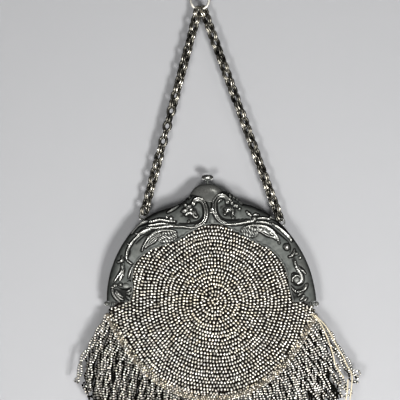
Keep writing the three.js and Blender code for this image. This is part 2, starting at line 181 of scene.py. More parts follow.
# Stamped lines of the left arm, before the lean: scroll, bands, wing, stem, acanthus and flower,
# with their channels.
LEFT_LINES = (
    Line(1.25, 1.35, 2, 0.8, 0.7, (
        (-7.6, 53.2), (-6.6, 54.8), (-4.8, 55.3), (-2.9, 54.4), (-1.7, 52.4), (-1.1, 49.8), (-1.2, 47.0),
        (-2.1, 44.4), (-4.0, 42.4), (-6.6, 41.2),
    )),
    Line(0.75, -0.8, 1, 0.4, 0.3, (
        (-3.2, 52.0), (-2.7, 49.0), (-3.0, 46.4), (-4.6, 44.2), (-7.4, 43.0), (-11.4, 42.5), (-16.0, 42.7),
        (-20.0, 43.2),
    )),
    Line(0.5, 1.2, 1, 0.5, 0.5, (
        (-6.4, 40.9), (-10.0, 40.5), (-13.4, 41.0), (-16.6, 41.1), (-20.2, 41.3), (-24.0, 40.9),
        (-28.0, 40.3), (-32.6, 40.3),
    )),
    Line(0.45, 1.0, 1, 0.3, 0.5, ((-20.6, 42.2), (-24.6, 42.6), (-28.0, 42.1), (-31.4, 41.7))),
    Line(0.4, -0.7, 1, 0.4, 0.4, ((-22.6, 41.7), (-26.6, 41.5), (-31.2, 41.1))),
    Line(0.5, 0.9, 1, 0.3, 0.4, ((-17.0, 43.7), (-21.0, 44.0), (-25.0, 44.6), (-28.0, 44.1), (-31.2, 43.3))),
    Line(0.35, -0.7, 1, 0.4, 0.4, ((-21.0, 43.0), (-25.0, 43.5), (-29.6, 42.9))),
    Line(0.5, 0.95, 1, 0.4, 0.3, ((-32.2, 43.9), (-34.8, 43.0), (-36.8, 41.8), (-38.8, 39.8), (-40.8, 37.2))),
    Line(0.95, 1.4, 1, 0.6, 0.3, ((-31.0, 39.6), (-33.4, 39.0), (-35.4, 37.8), (-37.4, 36.7))),
    Line(0.38, 0.95, 1, 0.7, 0.8, (
        (-36.8, 36.4), (-38.4, 35.0), (-40.2, 33.2), (-41.8, 31.0), (-43.0, 28.6), (-43.7, 26.0),
        (-43.7, 24.2), (-43.0, 22.8), (-41.5, 21.7),
    )),
    Line(0.7, -0.9, 1, 0.3, 0.4, (
        (-20.0, 40.2), (-25.0, 39.8), (-29.0, 38.7), (-32.4, 37.0), (-35.6, 34.9), (-38.6, 32.0),
    )),
    Line(0.55, 1.2, 1, 0.4, 0.5, (
        (-17.4, 38.2), (-19.6, 39.0), (-23.0, 39.1), (-26.6, 38.5), (-29.6, 37.0), (-31.8, 35.0),
        (-33.5, 32.7), (-34.7, 30.4), (-35.6, 28.4),
    )),
    Line(2.1, 1.2, 4, 0.5, 0.25, ((-26.0, 36.8), (-28.6, 35.2), (-31.0, 33.4), (-33.6, 30.2))),
    Line(0.5, 1.1, 1, 0.5, 0.3, ((-48.3, 22.2), (-46.9, 22.6), (-45.9, 23.6), (-46.3, 25.2))),
    Line(0.4, 0.8, 1, 0.4, 0.4, ((-46.3, 20.8), (-46.2, 18.4), (-47.4, 16.4), (-49.0, 14.4), (-50.4, 12.4))),
    Line(0.6, 0.9, 1, 0.3, 0.4, ((-45.4, 18.4), (-46.0, 16.4), (-47.0, 14.6), (-47.6, 13.0))),
    Line(0.35, -0.7, 1, 0.5, 0.5, ((-45.0, 22.4), (-44.8, 18.6), (-45.6, 15.8), (-46.6, 13.4))),
    Line(0.35, -0.6, 1, 0.5, 0.5, ((-47.3, 21.4), (-47.4, 18.6), (-48.8, 16.2), (-50.4, 14.0))),
    Line(0.5, 0.6, 1, 0.5, 0.3, ((-40.2, 20.8), (-41.6, 18.4), (-42.6, 16.0), (-43.0, 14.0))),
    Line(0.5, -0.9, 1, 0.3, 0.3, ((-43.8, 12.2), (-42.4, 12.7), (-41.2, 11.6), (-41.2, 10.0))),
    Line(0.5, -1.0, 1, 0.3, 0.3, ((-49.0, 9.3), (-46.6, 8.1), (-44.0, 8.2), (-41.6, 9.2))),
    Line(0.6, 1.4, 1, 0.5, 0.5, ((-51.9, 7.8), (-51.3, 5.6), (-50.0, 3.5), (-48.2, 1.6))),
    Line(0.45, -0.9, 1, 0.4, 0.4, ((-51.0, 7.0), (-50.0, 5.0), (-48.6, 3.2), (-47.0, 2.0))),
    Line(0.5, 1.25, 1, 0.5, 0.5, ((-50.3, 6.0), (-49.2, 4.6), (-47.8, 3.3), (-46.4, 2.6))),
    Line(0.4, -0.9, 1, 0.4, 0.4, ((-49.6, 6.0), (-48.2, 4.4), (-46.6, 3.4))),
    Line(0.55, 1.25, 1, 0.5, 0.5, ((-49.9, 7.2), (-48.6, 5.5), (-46.6, 4.0))),
    Line(0.5, 1.25, 1, 0.4, 0.4, ((-44.4, 6.8), (-43.2, 7.3), (-42.1, 8.3))),
    Line(0.5, 1.2, 1, 0.4, 0.4, ((-44.2, 5.7), (-42.6, 6.0), (-41.3, 6.9))),
    Line(0.5, 1.1, 1, 0.4, 0.4, ((-44.4, 4.2), (-43.4, 3.4), (-42.8, 2.6))),
    Line(0.5, 1.1, 1, 0.4, 0.6, (
        (-11.8, 47.0), (-10.6, 48.2), (-9.0, 48.2), (-7.9, 47.4), (-7.4, 46.2), (-6.4, 45.8), (-5.6, 46.4),
    )),
    Line(0.5, 1.2, 1, 0.4, 0.4, ((-8.2, 48.3), (-7.0, 48.1), (-6.3, 47.2))),
    Line(0.5, 0.6, 1, 0.4, 0.4, ((-21.4, 48.4), (-19.6, 49.4), (-17.6, 50.6), (-15.4, 52.0))),
)

# The same for the right arm, whose lower scroll curls round a boss.
RIGHT_LINES = (
    Line(1.25, 1.35, 2, 0.7, 0.7, (
        (10.3, 54.0), (9.8, 56.0), (8.4, 57.1), (6.4, 57.0), (4.6, 55.6), (3.4, 53.4), (3.2, 50.8),
        (3.6, 48.2), (4.8, 45.6), (6.6, 43.7), (8.8, 42.8),
    )),
    Line(0.4, 0.9, 1, 0.4, 0.4, ((5.5, 53.9), (6.4, 54.8), (7.4, 55.2))),
    Line(0.8, -0.9, 1, 0.4, 0.3, (
        (5.0, 52.4), (5.0, 49.2), (5.9, 46.6), (7.8, 44.9), (10.6, 44.3), (14.4, 44.4), (18.0, 44.9),
        (21.6, 45.0),
    )),
    Line(0.75, 1.25, 1, 0.6, 0.5, (
        (8.6, 42.2), (11.6, 42.3), (15.0, 42.5), (18.4, 43.1), (21.0, 43.6), (23.4, 43.9),
    )),
    Line(0.45, 1.1, 1, 0.6, 0.4, ((26.0, 45.4), (29.0, 45.3), (32.2, 44.9))),
    Line(0.35, -0.8, 1, 0.5, 0.4, ((25.6, 44.5), (29.0, 44.4), (32.6, 44.0))),
    Line(0.4, 0.7, 1, 0.3, 0.3, ((23.4, 46.9), (24.8, 47.3), (26.4, 47.1))),
    Line(0.45, 0.9, 1, 0.3, 0.4, ((20.2, 49.0), (21.2, 47.8), (22.6, 46.7))),
    Line(0.55, 1.0, 1, 0.5, 0.3, ((25.2, 43.5), (28.0, 43.4), (30.4, 42.9), (33.2, 41.9))),
    Line(0.7, -0.9, 1, 0.4, 0.4, (
        (18.4, 41.1), (20.6, 42.3), (24.0, 42.7), (27.4, 42.5), (30.4, 41.7), (33.2, 40.3), (36.0, 38.0),
        (39.0, 35.5), (41.4, 33.2), (42.6, 30.6), (42.2, 27.6),
    )),
    Line(0.45, 1.15, 1, 0.4, 0.4, (
        (33.4, 42.6), (36.0, 40.8), (38.4, 38.9), (40.4, 37.0), (42.2, 35.0), (43.2, 33.4),
    )),
    Line(0.5, 0.85, 1, 0.4, 0.3, (
        (32.6, 45.9), (35.4, 44.6), (38.0, 42.6), (40.4, 40.2), (42.6, 37.4), (44.4, 34.4),
    )),
    Line(0.35, -0.7, 1, 0.4, 0.4, ((34.0, 43.6), (36.6, 41.9), (39.4, 39.6), (41.8, 37.0))),
    Line(0.55, 1.15, 1, 0.4, 0.4, (
        (18.8, 40.2), (20.8, 41.3), (23.6, 41.7), (27.0, 41.5), (30.0, 40.9), (32.6, 39.5), (34.6, 37.3),
        (35.9, 35.2), (36.6, 32.4),
    )),
    Line(2.1, 1.2, 4, 0.5, 0.25, ((25.6, 39.6), (28.6, 38.9), (31.4, 37.6), (33.4, 36.2), (35.2, 34.6))),
    Line(0.55, 1.25, 1, 0.4, 0.4, ((41.6, 25.2), (43.0, 25.7), (44.0, 27.0), (44.6, 28.8))),
    Line(0.4, -0.9, 1, 0.4, 0.4, ((42.8, 24.8), (43.6, 22.8), (44.2, 20.8), (45.0, 19.0))),
    Line(0.5, 1.25, 1, 0.4, 0.6, ((44.6, 22.6), (44.9, 20.6), (45.7, 18.9), (46.6, 17.8))),
    Line(0.5, 0.9, 1, 0.3, 0.3, ((46.8, 19.0), (48.2, 17.9), (49.8, 16.4))),
    Line(0.35, -0.9, 1, 0.3, 0.3, ((45.8, 21.2), (47.6, 19.8), (49.8, 18.6))),
    Line(0.95, 0.8, 1, 0.7, 0.9, ((46.4, 17.6), (47.4, 16.2), (47.9, 14.4), (47.4, 12.4), (45.8, 11.4))),
    Line(0.5, 1.35, 1, 0.4, 0.5, ((42.9, 12.2), (43.3, 14.0), (44.4, 15.1), (45.6, 15.3), (46.8, 14.7))),
    Line(0.5, -1.0, 1, 0.3, 0.4, ((42.0, 14.4), (42.8, 16.3), (44.4, 16.7), (46.0, 15.9))),
    Line(0.5, -1.0, 1, 0.4, 0.4, (
        (47.2, 17.8), (48.7, 16.0), (49.0, 13.4), (47.9, 11.0), (45.6, 9.9), (43.2, 10.6),
    )),
    Line(0.8, 1.45, 1, 0.7, 0.4, ((50.2, 10.4), (49.5, 9.0), (48.4, 7.6))),
    Line(0.35, -1.0, 1, 0.4, 0.4, ((51.2, 10.0), (50.0, 8.1), (48.5, 6.4), (47.4, 4.8))),
    Line(0.5, 1.25, 1, 0.4, 0.4, ((48.0, 7.5), (46.6, 7.0), (45.0, 6.6))),
    Line(0.4, 0.9, 1, 0.4, 0.4, ((42.0, 9.4), (43.2, 8.0), (44.4, 6.6))),
    Line(0.45, 1.0, 1, 0.4, 0.4, ((47.8, 6.1), (46.7, 5.6), (45.6, 4.7))),
    Line(0.45, 1.0, 1, 0.4, 0.4, ((48.6, 4.8), (47.9, 3.6), (46.8, 2.6))),
    Line(0.4, 0.9, 1, 0.4, 0.4, ((50.0, 3.4), (49.3, 2.6), (48.6, 1.8))),
    Line(0.5, 1.1, 1, 0.4, 0.4, ((12.8, 50.8), (13.0, 48.8), (12.4, 46.6))),
    Line(0.45, 0.9, 1, 0.4, 0.4, ((10.8, 56.0), (12.0, 54.9), (12.8, 53.4))),
)


class Bump(NamedTuple):
    """A berry, petal or boss, or a sunk ground where height is below 0.

    It has a middle, half sizes, a turn in degrees and a height.
    """

    x: float
    z: float
    long: float
    wide: float
    turn: float
    height: float


# Sunk grounds, then flowers beside the scrolls, berries, the tie between the scrolls, bosses and leaf tips.
BUMPS = (
    Bump(-9.4, 47.8, 6.4, 4.8, -15, -0.35),
    Bump(10.6, 49.4, 5.8, 5.2, 0, -0.35),
    Bump(-46.6, 5.4, 5.8, 4.2, -25, -0.4),
    Bump(-33.6, 42.2, 3.0, 1.2, 25, -0.4),
    Bump(-42.4, 26.6, 2.6, 1.2, 70, -0.3),
    Bump(45.6, 13.6, 4.4, 4.4, 0, -0.35),
    Bump(45.8, 6.0, 4.8, 3.4, 60, -0.4),
    Bump(44.2, 23.4, 5.0, 1.8, -80, -0.3),
    Bump(-10.2, 51.4, 1.7, 0.75, 25, 1.3),
    Bump(-12.2, 49.4, 1.8, 0.85, 12, 1.3),
    Bump(-11.9, 52.3, 1.0, 0.6, 0, 0.9),
    Bump(-9.0, 50.0, 1.1, 0.65, 40, 0.8),
    Bump(10.6, 50.1, 2.1, 0.95, 0, 1.3),
    Bump(9.9, 48.9, 1.2, 0.7, 50, 1.1),
    Bump(8.6, 47.6, 0.8, 0.6, -60, 1.1),
    Bump(12.8, 53.5, 0.85, 0.8, 0, 1.3),
    Bump(14.1, 52.1, 0.9, 0.7, 0, 1.2),
    Bump(15.2, 51.8, 0.8, 0.7, -30, 1.2),
    Bump(16.6, 50.3, 0.8, 0.55, 30, 1.0),
    Bump(-10.4, 43.6, 0.8, 0.7, 0, 1.2),
    Bump(13.2, 45.6, 0.85, 0.65, 0, 1.2),
    Bump(2.0, 50.1, 1.3, 0.7, 0, 1.4),
    Bump(1.8, 48.5, 1.3, 0.65, 0, 1.35),
    Bump(1.9, 44.2, 2.4, 1.3, 90, 0.4),
    Bump(-19.7, 45.4, 1.0, 1.0, 0, 0.85),
    Bump(-21.9, 45.9, 0.6, 0.5, 0, 0.8),
    Bump(24.1, 45.2, 1.2, 1.15, 0, 1.4),
    Bump(40.6, 30.4, 1.6, 1.65, 0, 1.3),
    Bump(45.5, 26.8, 0.75, 0.75, 0, 1.3),
    Bump(47.3, 24.6, 0.6, 0.75, 20, 1.1),
    Bump(45.4, 12.9, 1.9, 1.9, 0, 0.7),
    Bump(-38.2, 37.2, 0.8, 0.45, 0, 1.1),
    Bump(-42.6, 31.7, 0.8, 0.45, -25, 0.9),
    Bump(-50.3, 10.1, 0.95, 0.75, 10, 1.35),
    Bump(-47.4, 10.6, 1.0, 0.85, -35, 1.35),
    Bump(-51.8, 9.1, 0.55, 0.6, 0, 0.9),
    Bump(-44.6, 9.8, 2.0, 1.4, 0, 0.5),
    Bump(-15.4, 53.0, 1.3, 0.7, 50, 0.8),
    Bump(-13.6, 54.6, 1.3, 0.7, 60, 0.8),
    Bump(-11.6, 56.0, 1.3, 0.7, 70, 0.8),
    Bump(-9.6, 57.0, 1.3, 0.7, 80, 0.8),
    Bump(12.0, 57.4, 1.4, 0.7, 100, 0.8),
    Bump(14.0, 56.6, 1.4, 0.7, 112, 0.8),
    Bump(15.8, 55.2, 1.4, 0.7, 122, 0.8),
    Bump(17.4, 53.6, 1.4, 0.7, 132, 0.8),
)


class Scales(NamedTuple):
    """A patch of small overlapping feathers: middle, half length and width, turn, size of one and height."""

    x: float
    z: float
    long: float
    wide: float
    turn: float
    size: float
    height: float


# The small feathers at the root of each wing.
SCALES = (
    Scales(-21.8, 35.6, 5.6, 3.0, 14, 1.9, 0.95),
    Scales(21.4, 38.4, 4.8, 3.0, -12, 1.9, 0.75),
)

# Routes of the two loose threads, over the front of the fringe, as in the CAD solids.
THREAD_FRONT = 3.4
SHORT_THREAD = (
    (53.0, -5.2), (57.6, -10.4), (61.6, -19.2), (63.9, -26.4), (65.5, -32.3), (69.8, -39.0),
)
LOOP_THREAD = (
    (54.4, -5.6), (59.5, -10.7), (62.9, -16.0), (66.2, -22.3), (69.2, -27.5), (71.4, -32.3), (73.8, -36.6),
    (74.0, -41.0), (73.4, -46.6), (72.6, -53.5), (72.4, -58.6), (71.1, -60.2), (69.8, -58.6), (70.6, -52.0),
    (71.6, -45.0), (71.9, -39.4),
)


class ChainEnd(NamedTuple):
    """Where a side of the chain leaves the ring, in degrees from its foot, and its eye, from the top."""

    spread: float
    eye: float


# The left side of the chain is -1 and the right side 1.
CHAIN_ENDS = {-1: ChainEnd(8, 36.6), 1: ChainEnd(20, 41.7)}


# Settings that a user would change.

class FrameSettings(bpy.types.PropertyGroup):
    """Sizes and colours of the stamped silver frame."""

    depth: bpy.props.FloatProperty(
        name="Depth", description="Depth of one frame half, from the parting plane to its face",
        default=0.0074, min=0.003, unit="LENGTH")
    wall: bpy.props.FloatProperty(
        name="Wall", description="Thickness of the stamped sheet", default=0.001, min=0.0002, unit="LENGTH")
    relief: bpy.props.FloatProperty(
        name="Relief", description="Height of the stamping, as a share of its drawn height",
        default=1.0, min=0.0)
    silver: bpy.props.FloatVectorProperty(
        name="Rubbed silver", description="Colour of the ridges that handling keeps clean",
        default=(0.48, 0.48, 0.46), size=3, min=0.0, max=1.0, subtype="COLOR")
    tarnish: bpy.props.FloatVectorProperty(
        name="Tarnish", description="Colour of the ground between the ridges",
        default=(0.034, 0.039, 0.0375), size=3, min=0.0, max=1.0, subtype="COLOR")


class BeadSettings(bpy.types.PropertyGroup):
    """Sizes and colours of the steel beads on the discs."""

    row_pitch: bpy.props.FloatProperty(
        name="Row pitch", description="Distance between two rows of beads",
        default=0.00188, min=0.001, unit="LENGTH")
    bead_pitch: bpy.props.FloatProperty(
        name="Bead pitch", description="Distance between two beads of a row",
        default=0.00159, min=0.001, unit="LENGTH")
    bead_width: bpy.props.FloatProperty(
        name="Bead width", description="Diameter of a bead", default=0.0017, min=0.0005, unit="LENGTH")
    bead_length: bpy.props.FloatProperty(
        name="Bead length", description="Length of a bead along its thread",
        default=0.0014, min=0.0005, unit="LENGTH")
    steel: bpy.props.FloatVectorProperty(
        name="Steel", description="Colour of a clean bead",
        default=(0.97, 0.95, 0.90), size=3, min=0.0, max=1.0, subtype="COLOR")
    # The dark film of the beads is their grime where a bead's own tone is low, and painted shade on every
    # bead's ends and sides.
    grime_and_shade: bpy.props.FloatVectorProperty(
        name="Grime", description="Colour of the grime round a bead's ends and sides",
        default=(0.014, 0.011, 0.008), size=3, min=0.0, max=1.0, subtype="COLOR")
    # The crochet's colour is the thread's own dark colour, made near black as painted shade in the gaps
    # between the beads.
    ground: bpy.props.FloatVectorProperty(
        name="Crochet", description="Colour of the thread under the beads",
        default=(0.004, 0.0032, 0.0025), size=3, min=0.0, max=1.0, subtype="COLOR")


class FringeSettings(bpy.types.PropertyGroup):
    """Sizes of the twisted bead loops round the lower rim."""

    loops: bpy.props.IntProperty(
        name="Loops", description="Number of loops in the front row", default=56, min=2)
    length: bpy.props.FloatProperty(
        name="Length", description="Length of a loop from the rim to its end",
        default=0.0405, min=0.01, unit="LENGTH")
    twist: bpy.props.FloatProperty(
        name="Twist", description="Length over which the two strings of a loop go once round each other",
        default=0.016, min=0.004, unit="LENGTH")
    spread: bpy.props.FloatProperty(
        name="Spread", description="Distance of each string from the middle of its loop",
        default=0.00098, min=0.0003, unit="LENGTH")
    bead_width: bpy.props.FloatProperty(
        name="Bead width", description="Diameter of a fringe bead", default=0.0014, min=0.0004, unit="LENGTH")
    bead_pitch: bpy.props.FloatProperty(
        name="Bead pitch", description="Distance between two beads of a string",
        default=0.0013, min=0.0004, unit="LENGTH")
    splay: bpy.props.FloatProperty(
        name="Splay", description="Share of the rim's angle at which a loop leaves it", default=0.3, min=0.0)


class ChainSettings(bpy.types.PropertyGroup):
    """Sizes and colour of the chain and its ring."""

    links: bpy.props.IntProperty(
        name="Links", description="Number of double links on each side", default=27, min=3)
    link_length: bpy.props.FloatProperty(
        name="Link length", description="Outer length of a link", default=0.0066, min=0.002, unit="LENGTH")
    link_width: bpy.props.FloatProperty(
        name="Link width", description="Outer width of a link", default=0.005, min=0.002, unit="LENGTH")
    wire: bpy.props.FloatProperty(
        name="Wire", description="Diameter of the wire of a link", default=0.00136, min=0.0002, unit="LENGTH")
    ring_wire: bpy.props.FloatProperty(
        name="Ring wire", description="Diameter of the hang ring's wire",
        default=0.0012, min=0.0002, unit="LENGTH")
    silver: bpy.props.FloatVectorProperty(
        name="Silver", description="Colour of the rubbed wire",
        default=(0.70, 0.66, 0.57), size=3, min=0.0, max=1.0, subtype="COLOR")


class ThreadSettings(bpy.types.PropertyGroup):
    """Sizes and colours of the loose threads and the rim's welt."""

    diameter: bpy.props.FloatProperty(
        name="Diameter", description="Diameter of a loose thread", default=0.0006, min=0.0003, unit="LENGTH")
    cream: bpy.props.FloatVectorProperty(
        name="Cream", description="Colour of the loose threads",
        default=(0.42, 0.375, 0.27), size=3, min=0.0, max=1.0, subtype="COLOR")
    welt_width: bpy.props.FloatProperty(
        name="Welt width", description="Diameter of the welt round the rim",
        default=0.0026, min=0.001, unit="LENGTH")
    welt: bpy.props.FloatVectorProperty(
        name="Welt", description="Colour of the welt's thread",
        default=(0.11, 0.095, 0.07), size=3, min=0.0, max=1.0, subtype="COLOR")


class StageSettings(bpy.types.PropertyGroup):
    """Camera, light and backdrop."""

    field: bpy.props.FloatProperty(
        name="Field", description="Width of the picture at the purse", default=0.212, min=0.05, unit="LENGTH")
    distance: bpy.props.FloatProperty(
        name="Distance", description="Distance from the camera to the purse",
        default=0.8, min=0.2, unit="LENGTH")
    look_at: bpy.props.FloatVectorProperty(
        name="Look at", description="Point in the middle of the picture",
        default=(0.0001, 0.0, -0.1105), size=3, unit="LENGTH")
    key: bpy.props.FloatProperty(
        name="Key", description="Power of the lamp at the lower right", default=10.2, min=0.0, unit="POWER")
    fill: bpy.props.FloatProperty(
        name="Fill", description="Power of the lamp at the lower left", default=5.0, min=0.0, unit="POWER")
    ambient: bpy.props.FloatProperty(
        name="Ambient", description="Strength of the light from the sides and above", default=0.1, min=0.0)
    backdrop: bpy.props.FloatVectorProperty(
        name="Backdrop", description="Colour of the wall behind the purse",
        default=(0.229, 0.233, 0.246), size=3, min=0.0, max=1.0, subtype="COLOR")


# Shared geometry.

def in_frame(points):
    """Millimetres from the hinge middle, as metres in the model's frame."""
    return np.asarray(points, float) * MM + HINGE_MIDDLE


def leaned(x, z):
    """Sideways place of a point once the purse leans: x plus the lean for its height above the hinge."""
    return x + LEAN * z


def smoothstep(value, low, high):
    """0 below low, 1 above high, and the cubic 3t squared less 2t cubed between."""
    share = np.clip((np.asarray(value, float) - low) / (high - low), 0.0, 1.0)
    return share * share * (3.0 - 2.0 * share)


def between(value, rise, fall):
    """1 between two smooth steps, each given by its start and end, and 0 outside them."""
    return smoothstep(value, *rise) * (1 - smoothstep(value, *fall))


def even_turns(count):
    """Angles at even steps once round, in radians."""
    return 2 * np.pi * np.arange(count) / count


def folded(angle):
    """Angles up to 360 degrees as angles from -180 to 180."""
    return np.where(angle > 180, angle - 360, angle)


def down_and_up(rows):
    """Rows of values from first to last and back to the first."""
    return np.hstack([rows, rows[:, ::-1]])


def from_top(radius, angle):
    """x and z at a radius and an angle in degrees from the top: the radius times its sine and cosine."""
    turn = np.radians(angle)
    return radius * np.sin(turn), radius * np.cos(turn)


def from_table(rows, column, at):
    """A table's column at many angles: cubic Hermite between rows, with slopes from the neighbours."""
    keys = np.array([row.angle for row in rows], float)
    values = np.array([getattr(row, column) for row in rows], float)
    slopes = np.gradient(values, keys)
    at = np.clip(np.asarray(at, float), keys[0], keys[-1])
    row = np.clip(np.searchsorted(keys, at, side="right") - 1, 0, len(keys) - 2)
    step = keys[row + 1] - keys[row]
    t = (at - keys[row]) / step
    start = values[row] * (1 + 2 * t) * (1 - t) ** 2 + slopes[row] * step * t * (1 - t) ** 2
    return start + values[row + 1] * t * t * (3 - 2 * t) + slopes[row + 1] * step * t * t * (t - 1)


def run_along(route):
    """Distance of each point of a route from its start: the sum of the steps before it."""
    return np.concatenate([[0.0], np.cumsum(np.linalg.norm(np.diff(route, axis=0), axis=1))])


def smooth_route(points, spacing):
    """A Catmull-Rom curve through the points, cut again into equal steps of about the spacing."""
    points = np.asarray(points, float)
    padded = np.vstack([2 * points[0] - points[1], points, 2 * points[-1] - points[-2]])
    t = np.linspace(0, 1, 24, endpoint=False)[None, :, None]
    p0, p1, p2, p3 = (padded[i:len(padded) - 3 + i, None, :] for i in range(4))
    curve = 0.5 * (2 * p1 + (p2 - p0) * t + (2 * p0 - 5 * p1 + 4 * p2 - p3) * t ** 2
                   + (3 * p1 - p0 - 3 * p2 + p3) * t ** 3)
    curve = np.vstack([curve.reshape(-1, points.shape[1]), points[-1:]])
    run = run_along(curve)
    even = np.linspace(0, run[-1], max(int(run[-1] / spacing), 2) + 1)
    return np.stack([np.interp(even, run, curve[:, axis]) for axis in range(points.shape[1])], axis=1)


def unit(vectors):
    """Vectors at length one."""
    return vectors / np.maximum(np.linalg.norm(vectors, axis=-1, keepdims=True), 1e-12)


def square_to(vectors, axes):
    """The part of vectors that is square to unit axes, at length one."""
    return unit(vectors - axes * np.sum(vectors * axes, axis=-1, keepdims=True))


def grid_faces(rows, columns, wrap_rows=False, wrap_columns=False, poles=()):
    """Quads of a grid of points, joined round where asked; a pole is a row that is one point."""
    row = np.arange(rows if wrap_rows else rows - 1)[:, None]
    column = np.arange(columns if wrap_columns else columns - 1)[None, :]
    place = np.arange(rows * columns).reshape(rows, columns)
    for pole in poles:
        place[pole] = place[pole, 0]
    below, right = (row + 1) % rows, (column + 1) % columns
    quads = np.stack([place[row, column], place[below, column], place[below, right], place[row, right]], -1)
    quads = quads.reshape(-1, 4)
    top, bottom = quads[:, 0] == quads[:, 3], quads[:, 1] == quads[:, 2]
    faces = [quads[~top & ~bottom]]
    if top.any():
        faces.append(quads[top][:, :3])
    if bottom.any():
        faces.append(quads[bottom][:, [0, 1, 3]])
    return faces


def capped_faces(rings, sides):
    """Quads between rings of points, with one face over the first ring and one over the last."""
    first = np.arange(sides)[None, :]
    last = first[:, ::-1] + (rings - 1) * sides
    return grid_faces(rings, sides, wrap_columns=True) + [first, last]


def volume_of(points, faces):
    """Signed volume inside closed faces: a sixth of each corner fan's triple product."""
    total = 0.0
    for block in faces:
        for corner in range(1, block.shape[1] - 1):
            a, b, c = (points[block[:, index]] for index in (0, corner, corner + 1))
            total += np.einsum("ij,ij->", a, np.cross(b, c)) / 6.0
    return total


def outward(points, faces):
    """The faces turned so that they point out of the closed shape."""
    if volume_of(points, faces) < 0:
        return [block[:, ::-1] for block in faces]
    return faces


def repeated(points, faces, centres, x_axes, y_axes, z_axes):
    """One small shape at many places: each point is the centre plus its parts along three scaled axes."""
    count, size = len(centres), len(points)
    spread = (points[None, :, 0:1] * x_axes[:, None, :] + points[None, :, 1:2] * y_axes[:, None, :]
              + points[None, :, 2:3] * z_axes[:, None, :])
    placed = (centres[:, None, :] + spread).reshape(-1, 3)
    shift = (np.arange(count) * size)[:, None, None]
    return placed, [(block[None] + shift).reshape(-1, block.shape[1]) for block in faces]


def joined(shapes):
    """Several shapes as one list of points and faces."""
    points, faces, start = [], [], 0
    for shape_points, shape_faces in shapes:
        points.append(shape_points)
        faces += [block + start for block in shape_faces]
        start += len(shape_points)
    return np.vstack(points), faces


def barrel(sides, stations, radii):
    """A bead along X: rings at the stations with the radii, points at even angles, closed at both ends."""
    turn = even_turns(sides)
    stations, radii = np.asarray(stations, float)[:, None], np.asarray(radii, float)[:, None]
    rings = np.broadcast_arrays(stations, radii * np.cos(turn), radii * np.sin(turn))
    points = np.stack(rings, -1).reshape(-1, 3)
    return points, outward(points, capped_faces(len(radii), sides))


def torus(middle, wire, steps, sides, across=None):
    """A ring round Z: a wire circle carried along an ellipse, or a circle where across is None.

    The wire circle lies along the ellipse's own normal.
    """
    across = middle if across is None else across
    around, section = even_turns(steps)[:, None], even_turns(sides)[None, :]
    out_x, out_y = across * np.cos(around), middle * np.sin(around)
    size = np.hypot(out_x, out_y)
    points = np.stack(np.broadcast_arrays(
        middle * np.cos(around) + wire * np.cos(section) * out_x / size,
        across * np.sin(around) + wire * np.cos(section) * out_y / size,
        wire * np.sin(section)), -1).reshape(-1, 3)
    return points, outward(points, grid_faces(steps, sides, True, True))


def hoop(middle, wire, steps, sides, centre):
    """A round ring of wire about a centre, upright in the purse's plane: a torus with Y and Z exchanged."""
    shape, faces = torus(middle, wire, steps, sides)
    points = shape[:, [0, 2, 1]] + centre
    return points, outward(points, faces)


def turned(profile, steps):
    """A profile of radius and height turned round Z; it starts and ends on the axis."""
    profile = np.asarray(profile, float)
    around = even_turns(steps)[None, :]
    points = np.stack([
        profile[:, :1] * np.cos(around),
        profile[:, :1] * np.sin(around),
        np.repeat(profile[:, 1:], steps, axis=1),
    ], -1).reshape(-1, 3)
    faces = grid_faces(len(profile), steps, wrap_columns=True, poles=(0, len(profile) - 1))
    return points, outward(points, faces)


def twisted(route, radius, sides, ply, turns):
    """A twisted thread along a route, with its ply value: 0 in the hollows between plies, 1 on their crowns.

    Circles square to the route are swollen by ply times the cosine of a turning angle, and close at both ends
    along a quarter circle.
    """
    along = unit(np.gradient(route, axis=0))
    side = unit(np.cross(along, np.array([0.0, 1.0, 0.0])))
    up = np.cross(side, along)
    run = run_along(route)
    turn = even_turns(sides)[None, :]
    reach = 1 - ply + 2 * ply * np.abs(np.cos(turn + np.pi * turns * run[:, None]))
    ends = np.clip(np.minimum(run, run[-1] - run) / radius, 0.0, 1.0)[:, None]
    reach = reach * np.sqrt(np.clip(1 - (1 - ends) ** 2, 0.0, 1.0))
    points = route[:, None, :] + radius * reach[..., None] * (
        np.cos(turn)[..., None] * side[:, None, :] + np.sin(turn)[..., None] * up[:, None, :])
    points = points.reshape(-1, 3)
    faces = grid_faces(len(route), sides, wrap_columns=True, poles=(0, len(route) - 1))
    crown = np.clip((reach - (1 - ply)) / (2 * ply), 0.0, 1.0)
    return points, outward(points, faces), {"ply": crown.ravel()}


def strung(bead, centres, along, up, side, tone, painted_light, warmth):
    """A bead at each centre, on three scaled axes, with its tone spread over it by painted_light, a painted
    highlight on the bead's crown and painted shade on its ends and sides, and its warmth.
    """
    shape, faces = bead
    points, faces = repeated(shape, faces, centres, along, up, side)
    return points, faces, {"tone": np.outer(tone, painted_light).ravel(), "warmth": np.repeat(warmth, len(shape))}


